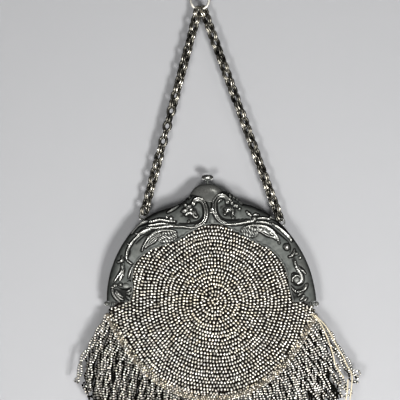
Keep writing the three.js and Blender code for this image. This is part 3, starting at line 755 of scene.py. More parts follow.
def add_piece(name, points, faces, material, body="purse", nodes=(), smooth=True, values=None):
    """Make a mesh object of points in millimetres and blocks of faces; say what it rides on and replaces."""
    mesh = bpy.data.meshes.new(name)
    sizes = np.concatenate([np.full(len(block), block.shape[1]) for block in faces])
    corners = np.concatenate([block.ravel() for block in faces]).astype(np.int32)
    mesh.vertices.add(len(points))
    mesh.vertices.foreach_set("co", np.ascontiguousarray(in_frame(points), dtype=np.float32).ravel())
    mesh.loops.add(len(corners))
    mesh.loops.foreach_set("vertex_index", corners)
    mesh.polygons.add(len(sizes))
    mesh.polygons.foreach_set("loop_start", np.concatenate([[0], np.cumsum(sizes)[:-1]]).astype(np.int32))
    mesh.polygons.foreach_set("use_smooth", np.full(len(sizes), smooth))
    mesh.update(calc_edges=True)
    for label, data in (values or {}).items():
        layer = mesh.attributes.new(label, "FLOAT", "POINT")
        layer.data.foreach_set("value", np.ascontiguousarray(data, dtype=np.float32))
    if mesh.validate():
        raise RuntimeError(f"{name} has faces that can't be kept")
    used = np.zeros(len(points), bool)
    used[corners] = True
    if not used.all():
        drop_points(mesh, np.flatnonzero(~used))
    mesh.materials.append(material)
    piece = bpy.data.objects.new(name, mesh)
    bpy.context.scene.collection.objects.link(piece)
    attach(piece, body)
    if nodes:
        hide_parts(*nodes)
    return piece


def drop_points(mesh, loose):
    """Take out the points of a pole's row that no face uses."""
    shape = bmesh.new()
    shape.from_mesh(mesh)
    shape.verts.ensure_lookup_table()
    bmesh.ops.delete(shape, geom=[shape.verts[index] for index in loose], context="VERTS")
    shape.to_mesh(mesh)
    shape.free()


# Materials. Each group puts out colours, masks and heights that change over the surface.

def put(tree, socket, value):
    """Link another socket into a socket, or set its plain value; a colour gets its alpha."""
    if isinstance(value, bpy.types.NodeSocket):
        tree.links.new(value, socket)
    elif socket.type == "RGBA":
        socket.default_value = (*value[:3], 1.0)
    else:
        socket.default_value = value


def feed(tree, node, values):
    """Put values or sockets into a node's inputs, by name or number; the node."""
    for label, value in values.items():
        put(tree, node.inputs[label], value)
    return node


def new_group(name, inputs, outputs):
    """An empty shader node group; an input's default tells a colour, which is a tuple, from a number."""
    group = bpy.data.node_groups.new(name, "ShaderNodeTree")
    for label, value in inputs.items():
        colour = isinstance(value, tuple)
        kind = "NodeSocketColor" if colour else "NodeSocketFloat"
        socket = group.interface.new_socket(label, in_out="INPUT", socket_type=kind)
        socket.default_value = (*value, 1.0) if colour else value
    for label in outputs:
        kind = "NodeSocketColor" if label == "Color" else "NodeSocketFloat"
        group.interface.new_socket(label, in_out="OUTPUT", socket_type=kind)
    return group, group.nodes.new("NodeGroupInput").outputs, group.nodes.new("NodeGroupOutput")


def math_node(tree, operation, *values, clamp=False):
    """A Math node fed by sockets or plain numbers; its output."""
    node = tree.nodes.new("ShaderNodeMath")
    node.operation = operation
    node.use_clamp = clamp
    return feed(tree, node, dict(enumerate(values))).outputs[0]


def mix_colour(tree, factor, first, second, blend="MIX"):
    """A colour Mix node fed by sockets or plain colours; its output."""
    node = tree.nodes.new("ShaderNodeMix")
    node.data_type = "RGBA"
    node.blend_type = blend
    return feed(tree, node, {0: factor, 6: first, 7: second}).outputs[2]


def mix_shader(tree, factor, first, second):
    """A Mix Shader node; its output."""
    return feed(tree, tree.nodes.new("ShaderNodeMixShader"), {0: factor, 1: first, 2: second}).outputs[0]


def noise_node(tree, scale, detail):
    """Noise on Object coordinates at a scale; its value output."""
    place = tree.nodes.new("ShaderNodeTexCoord").outputs["Object"]
    noise = tree.nodes.new("ShaderNodeTexNoise")
    return feed(tree, noise, {"Vector": place, "Scale": scale, "Detail": detail}).outputs["Fac"]


def range_node(tree, value, low, high, to_low=0.0, to_high=1.0):
    """A smooth Map Range of a value; its output."""
    node = tree.nodes.new("ShaderNodeMapRange")
    node.interpolation_type = "SMOOTHSTEP"
    return feed(tree, node, {
        "Value": value, "From Min": low, "From Max": high, "To Min": to_low, "To Max": to_high,
    }).outputs["Result"]


def attribute_node(tree, label):
    """A mesh attribute's value; its output."""
    node = tree.nodes.new("ShaderNodeAttribute")
    node.attribute_name = label
    return node.outputs["Fac"]


def tarnish_group():
    """Tarnish: clean metal where Rub is high, dark film elsewhere, in clouds and fine scratches."""
    if "Tarnish" in bpy.data.node_groups:
        return bpy.data.node_groups["Tarnish"]
    group, into, out = new_group("Tarnish", {
        "Clean": (0.7, 0.7, 0.7), "Film": (0.1, 0.1, 0.1), "Rub": 0.5, "Cloud Scale": 220.0, "Gloss": 0.24,
    }, ("Color", "Roughness", "Metal", "Height"))
    clouds = range_node(group, noise_node(group, into["Cloud Scale"], 5.0), 0.32, 0.7)
    grit = noise_node(group, 2600.0, 3.0)
    swing = range_node(group, clouds, 0.0, 1.0, 0.6, 1.4)
    mask = math_node(group, "MULTIPLY", into["Rub"], swing, clamp=True)
    patch = range_node(group, noise_node(group, 95.0, 3.0), 0.4, 0.68, 0.0, 0.55)
    film = mix_colour(group, patch, into["Film"], (0.012, 0.013, 0.012))
    mottle = range_node(group, noise_node(group, 520.0, 4.0), 0.46, 0.66, 0.0, 0.5)
    film = mix_colour(group, mottle, film, (0.014, 0.017, 0.016))
    # Near-black film where Rub is lowest: tarnish in the frame's hollows, and painted shade where a Rub
    # attribute holds it, as on the beads' sides and the frame's outer edge.
    hollow = range_node(group, into["Rub"], 0.0, 0.06, 0.9, 0.0)
    film = mix_colour(group, hollow, film, (0.0015, 0.0015, 0.0012))
    colour = mix_colour(group, mask, film, into["Clean"])
    scratch = range_node(group, grit, 0.62, 0.75, 0.0, 0.25)
    dull = math_node(group, "MULTIPLY", math_node(group, "SUBTRACT", 1.0, mask), 0.3)
    speck = math_node(group, "MULTIPLY", grit, 0.1)
    feed(group, out, {
        "Color": mix_colour(group, scratch, colour, (0.05, 0.05, 0.045)),
        "Roughness": math_node(group, "ADD", math_node(group, "ADD", into["Gloss"], dull), speck),
        "Metal": range_node(group, mask, 0.0, 0.5, 0.3, 1.0),
        "Height": grit,
    })
    return group


def strand_group():
    """Strand: painted shade, a dark line of the Shade colour where Ply falls to 0 between the plies of a
    thread, with fine fibres.
    """
    if "Strand" in bpy.data.node_groups:
        return bpy.data.node_groups["Strand"]
    group, into, out = new_group("Strand", {
        "Thread": (0.5, 0.4, 0.3), "Shade": (0.1, 0.07, 0.04), "Worn": (0.6, 0.53, 0.4), "Ply": 1.0,
        "Fibre Scale": 3000.0,
    }, ("Color", "Roughness", "Height"))
    fibre = noise_node(group, into["Fibre Scale"], 4.0)
    light = range_node(group, into["Ply"], 0.05, 0.75)
    colour = mix_colour(group, light, into["Shade"], into["Thread"])
    colour = mix_colour(group, range_node(group, fibre, 0.35, 0.7, 0.0, 0.35), colour, into["Shade"])
    patch = range_node(group, noise_node(group, 260.0, 2.0), 0.45, 0.7, 0.0, 0.4)
    feed(group, out, {
        "Color": mix_colour(group, patch, colour, into["Worn"]),
        "Roughness": range_node(group, fibre, 0.2, 0.8, 0.72, 0.95),
        "Height": math_node(group, "ADD", math_node(group, "MULTIPLY", fibre, 0.4), into["Ply"]),
    })
    return group


def start_material(name, plain):
    """A node material, its tree and its Principled BSDF with plain values set."""
    material = bpy.data.materials.new(name)
    material.use_nodes = True
    tree = material.node_tree
    return material, tree, feed(tree, tree.nodes["Principled BSDF"], plain)


def grouped_material(name, plain, group, values, bump):
    """A material whose colour, roughness and bump come from a group; a value that is text names an attribute.

    The bump is a strength and a distance. Gives the material, its tree, its shader and the group's outputs.
    """
    material, tree, shader = start_material(name, plain)
    node = tree.nodes.new("ShaderNodeGroup")
    node.node_tree = group
    for label, value in values.items():
        put(tree, node.inputs[label], attribute_node(tree, value) if isinstance(value, str) else value)
    strength, distance = bump
    lift = feed(tree, tree.nodes.new("ShaderNodeBump"), {
        "Strength": strength, "Distance": distance, "Height": node.outputs["Height"],
    })
    feed(tree, shader, {
        "Base Color": node.outputs["Color"],
        "Roughness": node.outputs["Roughness"],
        "Normal": lift.outputs["Normal"],
    })
    return material, tree, shader, node.outputs


def scaled(colour, share):
    """A colour times a share, at most 1."""
    return tuple(min(1.0, share * value) for value in colour)


def silver_material(name, clean, film, gloss, cloud, rub="rub", matt=True):
    """Tarnished silver, made once: its rub an attribute's name or a plain value, with a matt film or bare."""
    if name in bpy.data.materials:
        return bpy.data.materials[name]
    shine = {"Specular IOR Level": 0.15, "Specular Tint": (0.5, 0.5, 0.5), "Metallic": 1.0}
    values = {"Clean": clean, "Film": film, "Cloud Scale": cloud, "Gloss": gloss, "Rub": rub}
    material, tree, shader, tarnish = grouped_material(name, shine, tarnish_group(), values, (0.12, 0.00006))
    if matt:
        put(tree, shader.inputs["Metallic"], tarnish["Metal"])
    return material


def bead_material(name, steel, grime_and_shade, metal=1.0):
    """Steel beads, made once: from clean to dark by the tone attribute, which holds each bead's own tone
    together with its painted highlight and painted shade, with a warm film by its warmth.
    """
    if name in bpy.data.materials:
        return bpy.data.materials[name]
    shine = {"Specular IOR Level": 0.05, "Specular Tint": (0.2, 0.2, 0.2), "Metallic": metal}
    values = {"Clean": steel, "Film": grime_and_shade, "Cloud Scale": 700.0, "Gloss": 0.24, "Rub": "tone"}
    material, tree, shader, tarnish = grouped_material(name, shine, tarnish_group(), values, (0.1, 0.00004))
    warmth = attribute_node(tree, "warmth")
    put(tree, shader.inputs["Base Color"],
        mix_colour(tree, warmth, tarnish["Color"], (0.92, 0.80, 0.58), "MULTIPLY"))
    return material


def crochet_material(name, ground):
    """Dark crochet: ridged stitches from its stitch attribute, with painted shade in the troughs between
    them, and fibres; its near-black colour is partly painted shade in the gaps between the beads.
    """
    material, tree, shader, strand = grouped_material(
        name, {"Specular IOR Level": 0.08}, strand_group(), {
            "Thread": scaled(ground, 2.2), "Shade": scaled(ground, 0.5), "Worn": scaled(ground, 3.0),
            "Fibre Scale": 2600.0, "Ply": "stitch",
        }, (0.6, 0.0003))
    put(tree, shader.inputs["Base Color"], mix_colour(tree, 0.95, strand["Color"], ground))
    return material


def thread_material(name, thread, shade, fibre):
    """Twisted thread: plies from the piece's ply attribute, with fibres."""
    return grouped_material(name, {"Sheen Weight": 0.3}, strand_group(), {
        "Thread": thread, "Shade": shade, "Worn": scaled(thread, 1.3), "Fibre Scale": fibre, "Ply": "ply",
    }, (0.5, 0.0001))[0]


def frame_silver():
    """The stamped frame's silver."""
    settings = bpy.context.scene.purse_frame
    return silver_material("frame_silver", settings.silver, settings.tarnish, 0.24, 240.0)


def plain_silver():
    """The smoother, darker silver of the clasp, the rivets and the chain eyes."""
    settings = bpy.context.scene.purse_frame
    film = scaled(settings.tarnish, 0.45)
    return silver_material("plain_silver", settings.silver, film, 0.0, 260.0, rub=0.2)


def steel_beads():
    """The beads' steel."""
    settings = bpy.context.scene.purse_beads
    return bead_material("steel_beads", settings.steel, settings.grime_and_shade)


def shaded_beads():
    """Near-black beads in the thickness of the fringe: painted shade."""
    return bead_material("shaded_beads", (0.002, 0.0018, 0.0016), (0.0012, 0.001, 0.0009), metal=0.0)


# Pieces.

def disc_edge(angle):
    """Radius of a disc's edge at angles from the top, from its table."""
    return from_table(DISC_OUTLINE, "radius", np.abs(angle))


def disc_depth(x, z):
    """Depth of a disc's face: its edge's, plus the rest of the middle's as (1 - share squared) to 1.2."""
    angle = np.degrees(np.arctan2(np.abs(x), z))
    share = np.clip(np.hypot(x, z) / disc_edge(angle), 0.0, 1.0)
    edge = DISC_TUCKED_DEPTH + (DISC_RIM_DEPTH - DISC_TUCKED_DEPTH) * smoothstep(angle, 78.0, 104.0)
    return edge + (DISC_MIDDLE_DEPTH - edge) * (1.0 - share ** 2) ** 1.2


def frame_section(angle, rows, depth):
    """Face of a frame half across its width: flat rise over the inner part, then a superellipse to the plane.

    Teeth edge the crest on both sides of the cap, and scallops the inside of the arch above the beads.
    """
    tooth_pitch, tooth_height = 1.9, 1.3
    scallop_pitch, scallop_height = 4.4, 0.7
    inset = 0.35
    flat_share, power = 0.45, 2 / 2.6
    tooth = np.abs(np.mod(angle / tooth_pitch, 1.0) - 0.5) - 0.25
    toothed = between(angle, (-15, -12), (-9, -7.5)) + between(angle, (9.5, 11), (17, 19))
    scallop = np.abs(np.sin(np.pi * angle / scallop_pitch)) * between(np.abs(angle), (16, 20), (40, 46))
    inner = (from_table(FRAME_OUTLINE, "inner", angle) + inset - scallop_height * scallop)[:, None]
    outer = (from_table(FRAME_OUTLINE, "outer", angle) + tooth_height * toothed * tooth)[:, None]
    flat_rows = rows // 2
    flat = np.linspace(0.0, flat_share, flat_rows, endpoint=False)
    turn = np.linspace(0.0, np.pi / 2, rows - flat_rows)
    across = np.concatenate([flat, flat_share + (1 - flat_share) * np.sin(turn) ** power])[None, :]
    rise = np.concatenate([0.9 + 0.1 * np.sin(np.pi / 2 * flat / flat_share), np.cos(turn) ** power])[None, :]
    rise = np.maximum(rise, FRAME_PARTING)
    return inner + across * (outer - inner), np.repeat(rise * depth, len(angle), axis=0)


def line_height(line, x, z):
    """Height of a stamped line at points, and how near its border is, as 1 at its edge to 0 a millimetre out.

    Across the line it falls as (1 - share squared) to 0.7, cut by V grooves between its ribs; the half width
    narrows to its start and end shares, as a leaf does.
    """
    step, border = 0.25, 1.0
    route = smooth_route(line.route, step)
    tangent = unit(np.gradient(route, axis=0))
    height, rim = np.zeros_like(x), np.zeros_like(x)
    low, high = route.min(0) - line.half - border, route.max(0) + line.half + border
    near = np.flatnonzero((x > low[0]) & (x < high[0]) & (z > low[1]) & (z < high[1]))
    away = np.stack([x[near], z[near]], -1)[:, None] - route[None]
    gap = np.hypot(away[..., 0], away[..., 1])
    nearest = gap.argmin(1)
    each = np.arange(len(near))
    gap, away, along = gap[each, nearest], away[each, nearest], tangent[nearest]
    place = nearest / (len(route) - 1)
    width = line.half * (1 - (1 - line.start) * (1 - smoothstep(place, 0.0, 0.5))
                         - (1 - line.end) * smoothstep(place, 0.5, 1.0))
    side = (along[:, 0] * away[:, 1] - along[:, 1] * away[:, 0]) / width
    body = np.clip(1 - (gap / width) ** 2, 0.0, 1.0) ** 0.7
    groove = np.abs(2 * np.mod((side + 1) / 2 * line.ribs, 1.0) - 1)
    ribbed = 1 - 0.95 * groove if line.ribs > 1 else 1.0
    height[near] = line.height * body * ribbed * (0.6 + 0.4 * width / line.half)
    rim[near] = (1 - np.clip((gap - width) / border, 0.0, 1.0)) * (line.height > 0)
    return height, rim


def along_across(shape, x, z):
    """Distances of points from a shape's middle, along it and across it, by its turn's cosine and sine."""
    turn = math.radians(shape.turn)
    along = (x - shape.x) * math.cos(turn) + (z - shape.z) * math.sin(turn)
    across = (z - shape.z) * math.cos(turn) - (x - shape.x) * math.sin(turn)
    return along, across


def bump_height(bump, x, z):
    """Height of a boss at points, and how near its border is.

    The height falls as 1 less the sum of the squared shares of the half sizes.
    """
    along, across = along_across(bump, x, z)
    share = (along / bump.long) ** 2 + (across / bump.wide) ** 2
    return bump.height * np.clip(1 - share, 0.0, 1.0), np.clip(2.4 - share, 0.0, 1.0) * (bump.height > 0.6)


def scale_height(patch, x, z):
    """Height of a patch of small feathers: rows of half-lapped ellipses that fade at the patch's edge."""
    along, across = along_across(patch, x, z)
    row = across / (1.2 * patch.size) + 0.25 * np.sin(0.9 * along)
    column = ((along + 0.5 * across) / (0.75 * patch.size) + 0.5 * np.mod(np.round(row), 2)
              + 0.2 * np.sin(1.3 * across))
    share = (2.1 * (column - np.round(column))) ** 2 + (1.7 * (row - np.round(row))) ** 2
    edge = 1 - smoothstep((along / patch.long) ** 2 + (across / patch.wide) ** 2, 0.75, 1.0)
    return patch.height * edge * (0.25 + 0.75 * np.clip(1 - share, 0.0, 1.0) ** 0.6)


def relief_height(x, z):
    """Height of the stamping at points of the face.

    It is the highest of the lines, bosses and feathers there, or, where none rises, a faint ripple of three
    sines less the channels and a hollow along every border.
    """
    raised, sunk, border = np.zeros_like(x), np.zeros_like(x), np.zeros_like(x)
    for patch in SCALES:
        raised = np.maximum(raised, scale_height(patch, x, z))
    stamps = [(bump_height, bump) for bump in BUMPS]
    stamps += [(line_height, line) for line in LEFT_LINES + RIGHT_LINES]
    for height_of, stamp in stamps:
        height, rim = height_of(stamp, x, z)
        raised, sunk, border = np.maximum(raised, height), np.minimum(sunk, height), np.maximum(border, rim)
    ripple = np.sin(1.5 * x + 0.7 * z) + np.sin(1.9 * z - 1.1 * x + 2.0) + np.sin(0.8 * x - 2.3 * z + 4.0)
    return raised + (0.012 * ripple + sunk - 0.35 * border) * (1 - smoothstep(raised, 0.0, 0.3))


def blurred(values, reaches):
    """Mean of a grid over a block of neighbours, by running sums along each axis."""
    for axis, reach in enumerate(reaches):
        pad = [(reach + 1, reach) if index == axis else (0, 0) for index in (0, 1)]
        total = np.cumsum(np.pad(values, pad, mode="edge"), axis=axis)
        span = 2 * reach + 1
        upper = np.take(total, np.arange(span, total.shape[axis]), axis=axis)
        lower = np.take(total, np.arange(0, total.shape[axis] - span), axis=axis)
        values = (upper - lower) / span
    return values


def frame_half(toward, columns):
    """One stamped half: the section carried round the arch, raised along its normal by relief, and closed.

    Its rub is high on raised and convex metal, low in hollows, where tarnish lies, and low towards the outer
    edge, which paints shade along that edge.
    """
    settings = bpy.context.scene.purse_frame
    rows, back_rows = 82, 6
    end_angle, back_rub = 88.2, 0.1
    depth, wall = settings.depth / MM, settings.wall / MM
    parting = FRAME_PARTING * depth
    angle = np.linspace(-end_angle, end_angle, columns)
    radius, rise = frame_section(angle, rows, depth)
    run_r, run_d = np.gradient(radius, axis=1), np.gradient(rise, axis=1)
    length = np.maximum(np.hypot(run_r, run_d), 1e-9)
    out_r, out_d = -run_d / length, run_r / length
    x, z = from_top(radius, angle[:, None])
    height = relief_height(x.ravel(), z.ravel()).reshape(x.shape)
    share = np.linspace(0, 1, rows)[None, :]
    lip_height, lip_place, lip_width = 0.22, 0.04, 0.022
    lip = lip_height * np.exp(-((share - lip_place) / lip_width) ** 2)
    height = height * between(share, (0.0, 0.03), (0.82, 0.95))
    height = np.where(lip > 0.03, np.maximum(height, lip), height) * settings.relief
    convex = height - blurred(height, (round(columns / 190), 5))
    # The last term lowers rub towards the outer edge of the face: painted shade along that edge.
    rub = np.clip(0.06 + 0.22 * smoothstep(height, 0.5, 1.3)
                  + 1.7 * np.maximum(convex - 0.03, 0) * smoothstep(height, 0.1, 0.5)
                  - 0.6 * np.maximum(-convex, 0) + 0.16 * np.minimum(height, 0)
                  - 0.05 * smoothstep(share, 0.7, 0.92), 0.0, 1.0)
    face_r, face_d = radius + out_r * height, rise + out_d * height
    pick = np.linspace(rows - 1, 0, back_rows).round().astype(int)
    back_r, back_d = radius[:, pick] - out_r[:, pick] * wall, rise[:, pick] - out_d[:, pick] * wall
    ring_x, ring_z = from_top(np.hstack([face_r, back_r]), angle[:, None])
    ring_d = np.maximum(np.hstack([face_d, back_d]), parting)
    points = np.stack([leaned(ring_x, ring_z), toward * ring_d, ring_z], -1).reshape(-1, 3)
    values = np.hstack([rub, np.full((columns, back_rows), back_rub)]).ravel()
    return points, outward(points, capped_faces(columns, rows + back_rows)), {"rub": values}


def lug(toward, side):
    """A hinge ear with its tongue: a rounded outline in depth and height, carried through its thickness."""
    radius = 2.3
    near = 53.0 if toward < 0 else 51.7
    turn = np.linspace(math.radians(20), math.radians(-200), 28)
    ear = np.stack([radius * np.cos(turn), radius * np.sin(turn)], -1)
    tongue = np.array([[-3.2, 3.0], [-3.2, 6.6], [-0.4, 6.6], [-0.4, 2.6]])
    outline = np.vstack([ear, tongue])
    if toward > 0:
        outline = outline * np.array([-1.0, 1.0])
    size = np.array([0.85, 1.0, 1.0, 0.85])
    through = near + np.array([0.0, 0.15, 0.85, 1.0])
    middle = outline.mean(0)
    sections = middle + size[:, None, None] * (outline - middle)
    depth = np.broadcast_to(through[:, None] * side, sections.shape[:2])
    points = np.stack([depth, sections[..., 0], sections[..., 1]], -1).reshape(-1, 3)
    return points, outward(points, capped_faces(len(through), len(outline)))


def eye_centre(side):
    """Middle of a chain eye on the rim of the back half, as x, depth and z."""
    x, z = from_top(EYE_REACH, side * CHAIN_ENDS[side].eye)
    return np.array([leaned(x, z), EYE_DEPTH, z])


class PURSE_OT_stage(bpy.types.Operator):
    """Camera at the photograph's angle, a pale floor and wall, and soft lamps from below, above and behind"""

    bl_idname = "purse.stage"
    bl_label = "Stage"

    def execute(self, context):
        settings = context.scene.purse_stage
        context.scene.view_settings.view_transform = "Standard"
        self.camera(context.scene, settings)
        self.studio(context.scene, settings.ambient)
        self.lamps(context.scene, settings)
        self.backdrop(settings.backdrop)
        return {"FINISHED"}

    @staticmethod
    def camera(scene, settings):
        """A level camera in front of the purse, with the lens that gives the field at its distance."""
        data = bpy.data.cameras.new("camera")
        sensor = 36.0
        data.sensor_width = sensor
        data.lens = sensor * settings.distance / settings.field
        data.clip_start = 0.01
        camera = bpy.data.objects.new("camera", data)
        camera.location = Vector(settings.look_at) + Vector((0.0, -settings.distance, 0.0))
        camera.rotation_euler = (math.pi / 2, 0.0, 0.0)
        scene.collection.objects.link(camera)
        scene.camera = camera

    @staticmethod
    def studio(scene, ambient):
        """A world that is dim in front of the purse, lighter round it, and pale where the camera sees it."""
        world = bpy.data.worlds.new("studio")
        world.use_nodes = True
        tree = world.node_tree
        direction = tree.nodes.new("ShaderNodeTexCoord").outputs["Generated"]
        parts = feed(tree, tree.nodes.new("ShaderNodeSeparateXYZ"), {0: direction})
        shade = range_node(tree, parts.outputs["Y"], -0.85, -0.3, 0.12 * ambient, ambient)
        dim = feed(tree, tree.nodes["Background"], {"Color": (0.98, 0.99, 1.0), "Strength": shade})
        pale = feed(tree, tree.nodes.new("ShaderNodeBackground"), {"Color": (0.56, 0.57, 0.58)})
        camera_ray = tree.nodes.new("ShaderNodeLightPath").outputs["Is Camera Ray"]
        seen = mix_shader(tree, camera_ray, dim.outputs[0], pale.outputs[0])
        put(tree, tree.nodes["World Output"].inputs["Surface"], seen)
        scene.world = world

    @staticmethod
    def lamps(scene, settings):
        """Round lamps that face the purse, each with its place from the purse, its power and its size."""
        target = Vector((0.0, 0.0, -0.16))
        for name, offset, power, size in (
                ("key_lamp", (0.26, -0.66, -0.24), settings.key, 0.18),
                ("fill_lamp", (-0.19, -0.66, -0.18), settings.fill, 0.18),
                ("top_lamp", (0.22, -0.5, 0.55), 0.11 * settings.key, 0.2),
                ("back_key_lamp", (-0.26, 0.66, -0.24), 0.75 * settings.key, 0.18),
                ("back_fill_lamp", (0.19, 0.66, -0.18), 0.75 * settings.fill, 0.18)):
            data = bpy.data.lights.new(name, "AREA")
            data.shape = "DISK"
            data.size = size
            data.energy = power
            data.color = (1.0, 0.985, 0.95)
            lamp = bpy.data.objects.new(name, data)
            lamp.location = target + Vector(offset)
            lamp.rotation_euler = (-Vector(offset)).to_track_quat("-Z", "Y").to_euler()
            scene.collection.objects.link(lamp)

    def backdrop(self, colour):
        """A wall close behind the purse, clear from behind, and a floor well below it."""
        wall_y, wall_half, wall_top = CAD_BOX[1][1] + 0.0016, 0.9, 0.6
        floor_z, floor_half = CAD_BOX[0][2] - 0.4, 1.2
        wall = self.sheet("backdrop_wall", [
            (-wall_half, wall_y, floor_z), (wall_half, wall_y, floor_z),
            (wall_half, wall_y, wall_top), (-wall_half, wall_y, wall_top),
        ], self.paper("backdrop_paper", colour, True))
        floor = self.sheet("backdrop_floor", [
            (-floor_half, -floor_half, floor_z), (floor_half, -floor_half, floor_z),
            (floor_half, floor_half, floor_z), (-floor_half, floor_half, floor_z),
        ], self.paper("floor_paper", (0.7, 0.7, 0.7), False))
        wall.visible_shadow = False
        wall.visible_diffuse = False
        wall.visible_glossy = False

    @staticmethod
    def sheet(name, corners, material):
        """A flat sheet between four corners."""
        mesh = bpy.data.meshes.new(name)
        mesh.from_pydata(corners, [], [(0, 1, 2, 3)])
        mesh.update()
        mesh.materials.append(material)
        sheet = bpy.data.objects.new(name, mesh)
        bpy.context.scene.collection.objects.link(sheet)
        return sheet

    @staticmethod
    def paper(name, colour, one_sided):
        """Matt paper, which is clear from behind where it is one-sided."""
        material, tree, shader = start_material(
            name, {"Base Color": colour, "Roughness": 0.9, "Specular IOR Level": 0.2})
        if one_sided:
            behind = tree.nodes.new("ShaderNodeNewGeometry").outputs["Backfacing"]
            clear = tree.nodes.new("ShaderNodeBsdfTransparent").outputs[0]
            put(tree, tree.nodes["Material Output"].inputs["Surface"],
                mix_shader(tree, behind, shader.outputs[0], clear))
        return material


class PURSE_OT_threads(bpy.types.Operator):
    """The two cream threads that hang loose from the right-hand seam"""

    bl_idname = "purse.threads"
    bl_label = "Loose threads"

    def execute(self, context):
        settings = context.scene.purse_thread
        material = thread_material("loose_cream", settings.cream, (0.24, 0.20, 0.14), 5200.0)
        for name, node, route in (("thread_short", "loose_thread_short", SHORT_THREAD),
                                  ("thread_loop", "loose_thread_loop", LOOP_THREAD)):
            flat = smooth_route(route, 0.25)
            path = np.stack([flat[:, 0], np.full(len(flat), -THREAD_FRONT), flat[:, 1]], -1)
            points, faces, values = twisted(path, settings.diameter / MM / 2, 10, ply=0.16, turns=0.9)
            piece = add_piece(name, points, faces, material, nodes=(node,),
                              values=values)
        return {"FINISHED"}


class PURSE_OT_crochet(bpy.types.Operator):
    """The two crochet discs that the beads are worked on"""

    bl_idname = "purse.crochet"
    bl_label = "Crochet discs"

    def execute(self, context):
        settings = context.scene.purse_beads
        material = crochet_material("dark_crochet", settings.ground)
        for name, node, toward in (("crochet_front", "pouch_front", -1.0),
                                   ("crochet_back", "pouch_back", 1.0)):
            points, faces, values = self.disc(settings, toward)
            piece = add_piece(name, points, faces, material, nodes=(node,),
                              values=values)
        return {"FINISHED"}

    @staticmethod
    def disc(settings, toward):
        """Both faces of a disc: the dished one, set back and ribbed for the rows of beads, and the inner."""
        angles, rings, inner_rings = 190, 44, 12
        setback, rib_height = 0.75, 0.12
        angle = np.linspace(-180, 180, angles, endpoint=False)[None, :]
        share = np.sqrt(np.linspace(0, 1, rings))[:, None]
        radius = share * disc_edge(angle)
        x, z = from_top(radius, angle)
        depth = disc_depth(x, z)
        rib = 0.5 + 0.5 * np.cos(2 * np.pi * (radius / (settings.row_pitch / MM) - angle / 360.0))
        inner = np.linspace(rings - 1, 0, inner_rings).round().astype(int)
        depths = np.vstack([depth - setback + rib_height * rib, depth[inner] - DISC_WALL])
        xs, zs = np.vstack([x, x[inner]]), np.vstack([z, z[inner]])
        points = np.stack([xs, toward * depths, zs], -1).reshape(-1, 3)
        faces = grid_faces(len(xs), angles, wrap_columns=True, poles=(0, len(xs) - 1))
        return points, outward(points, faces), {"stitch": np.vstack([rib, rib[inner]]).ravel()}


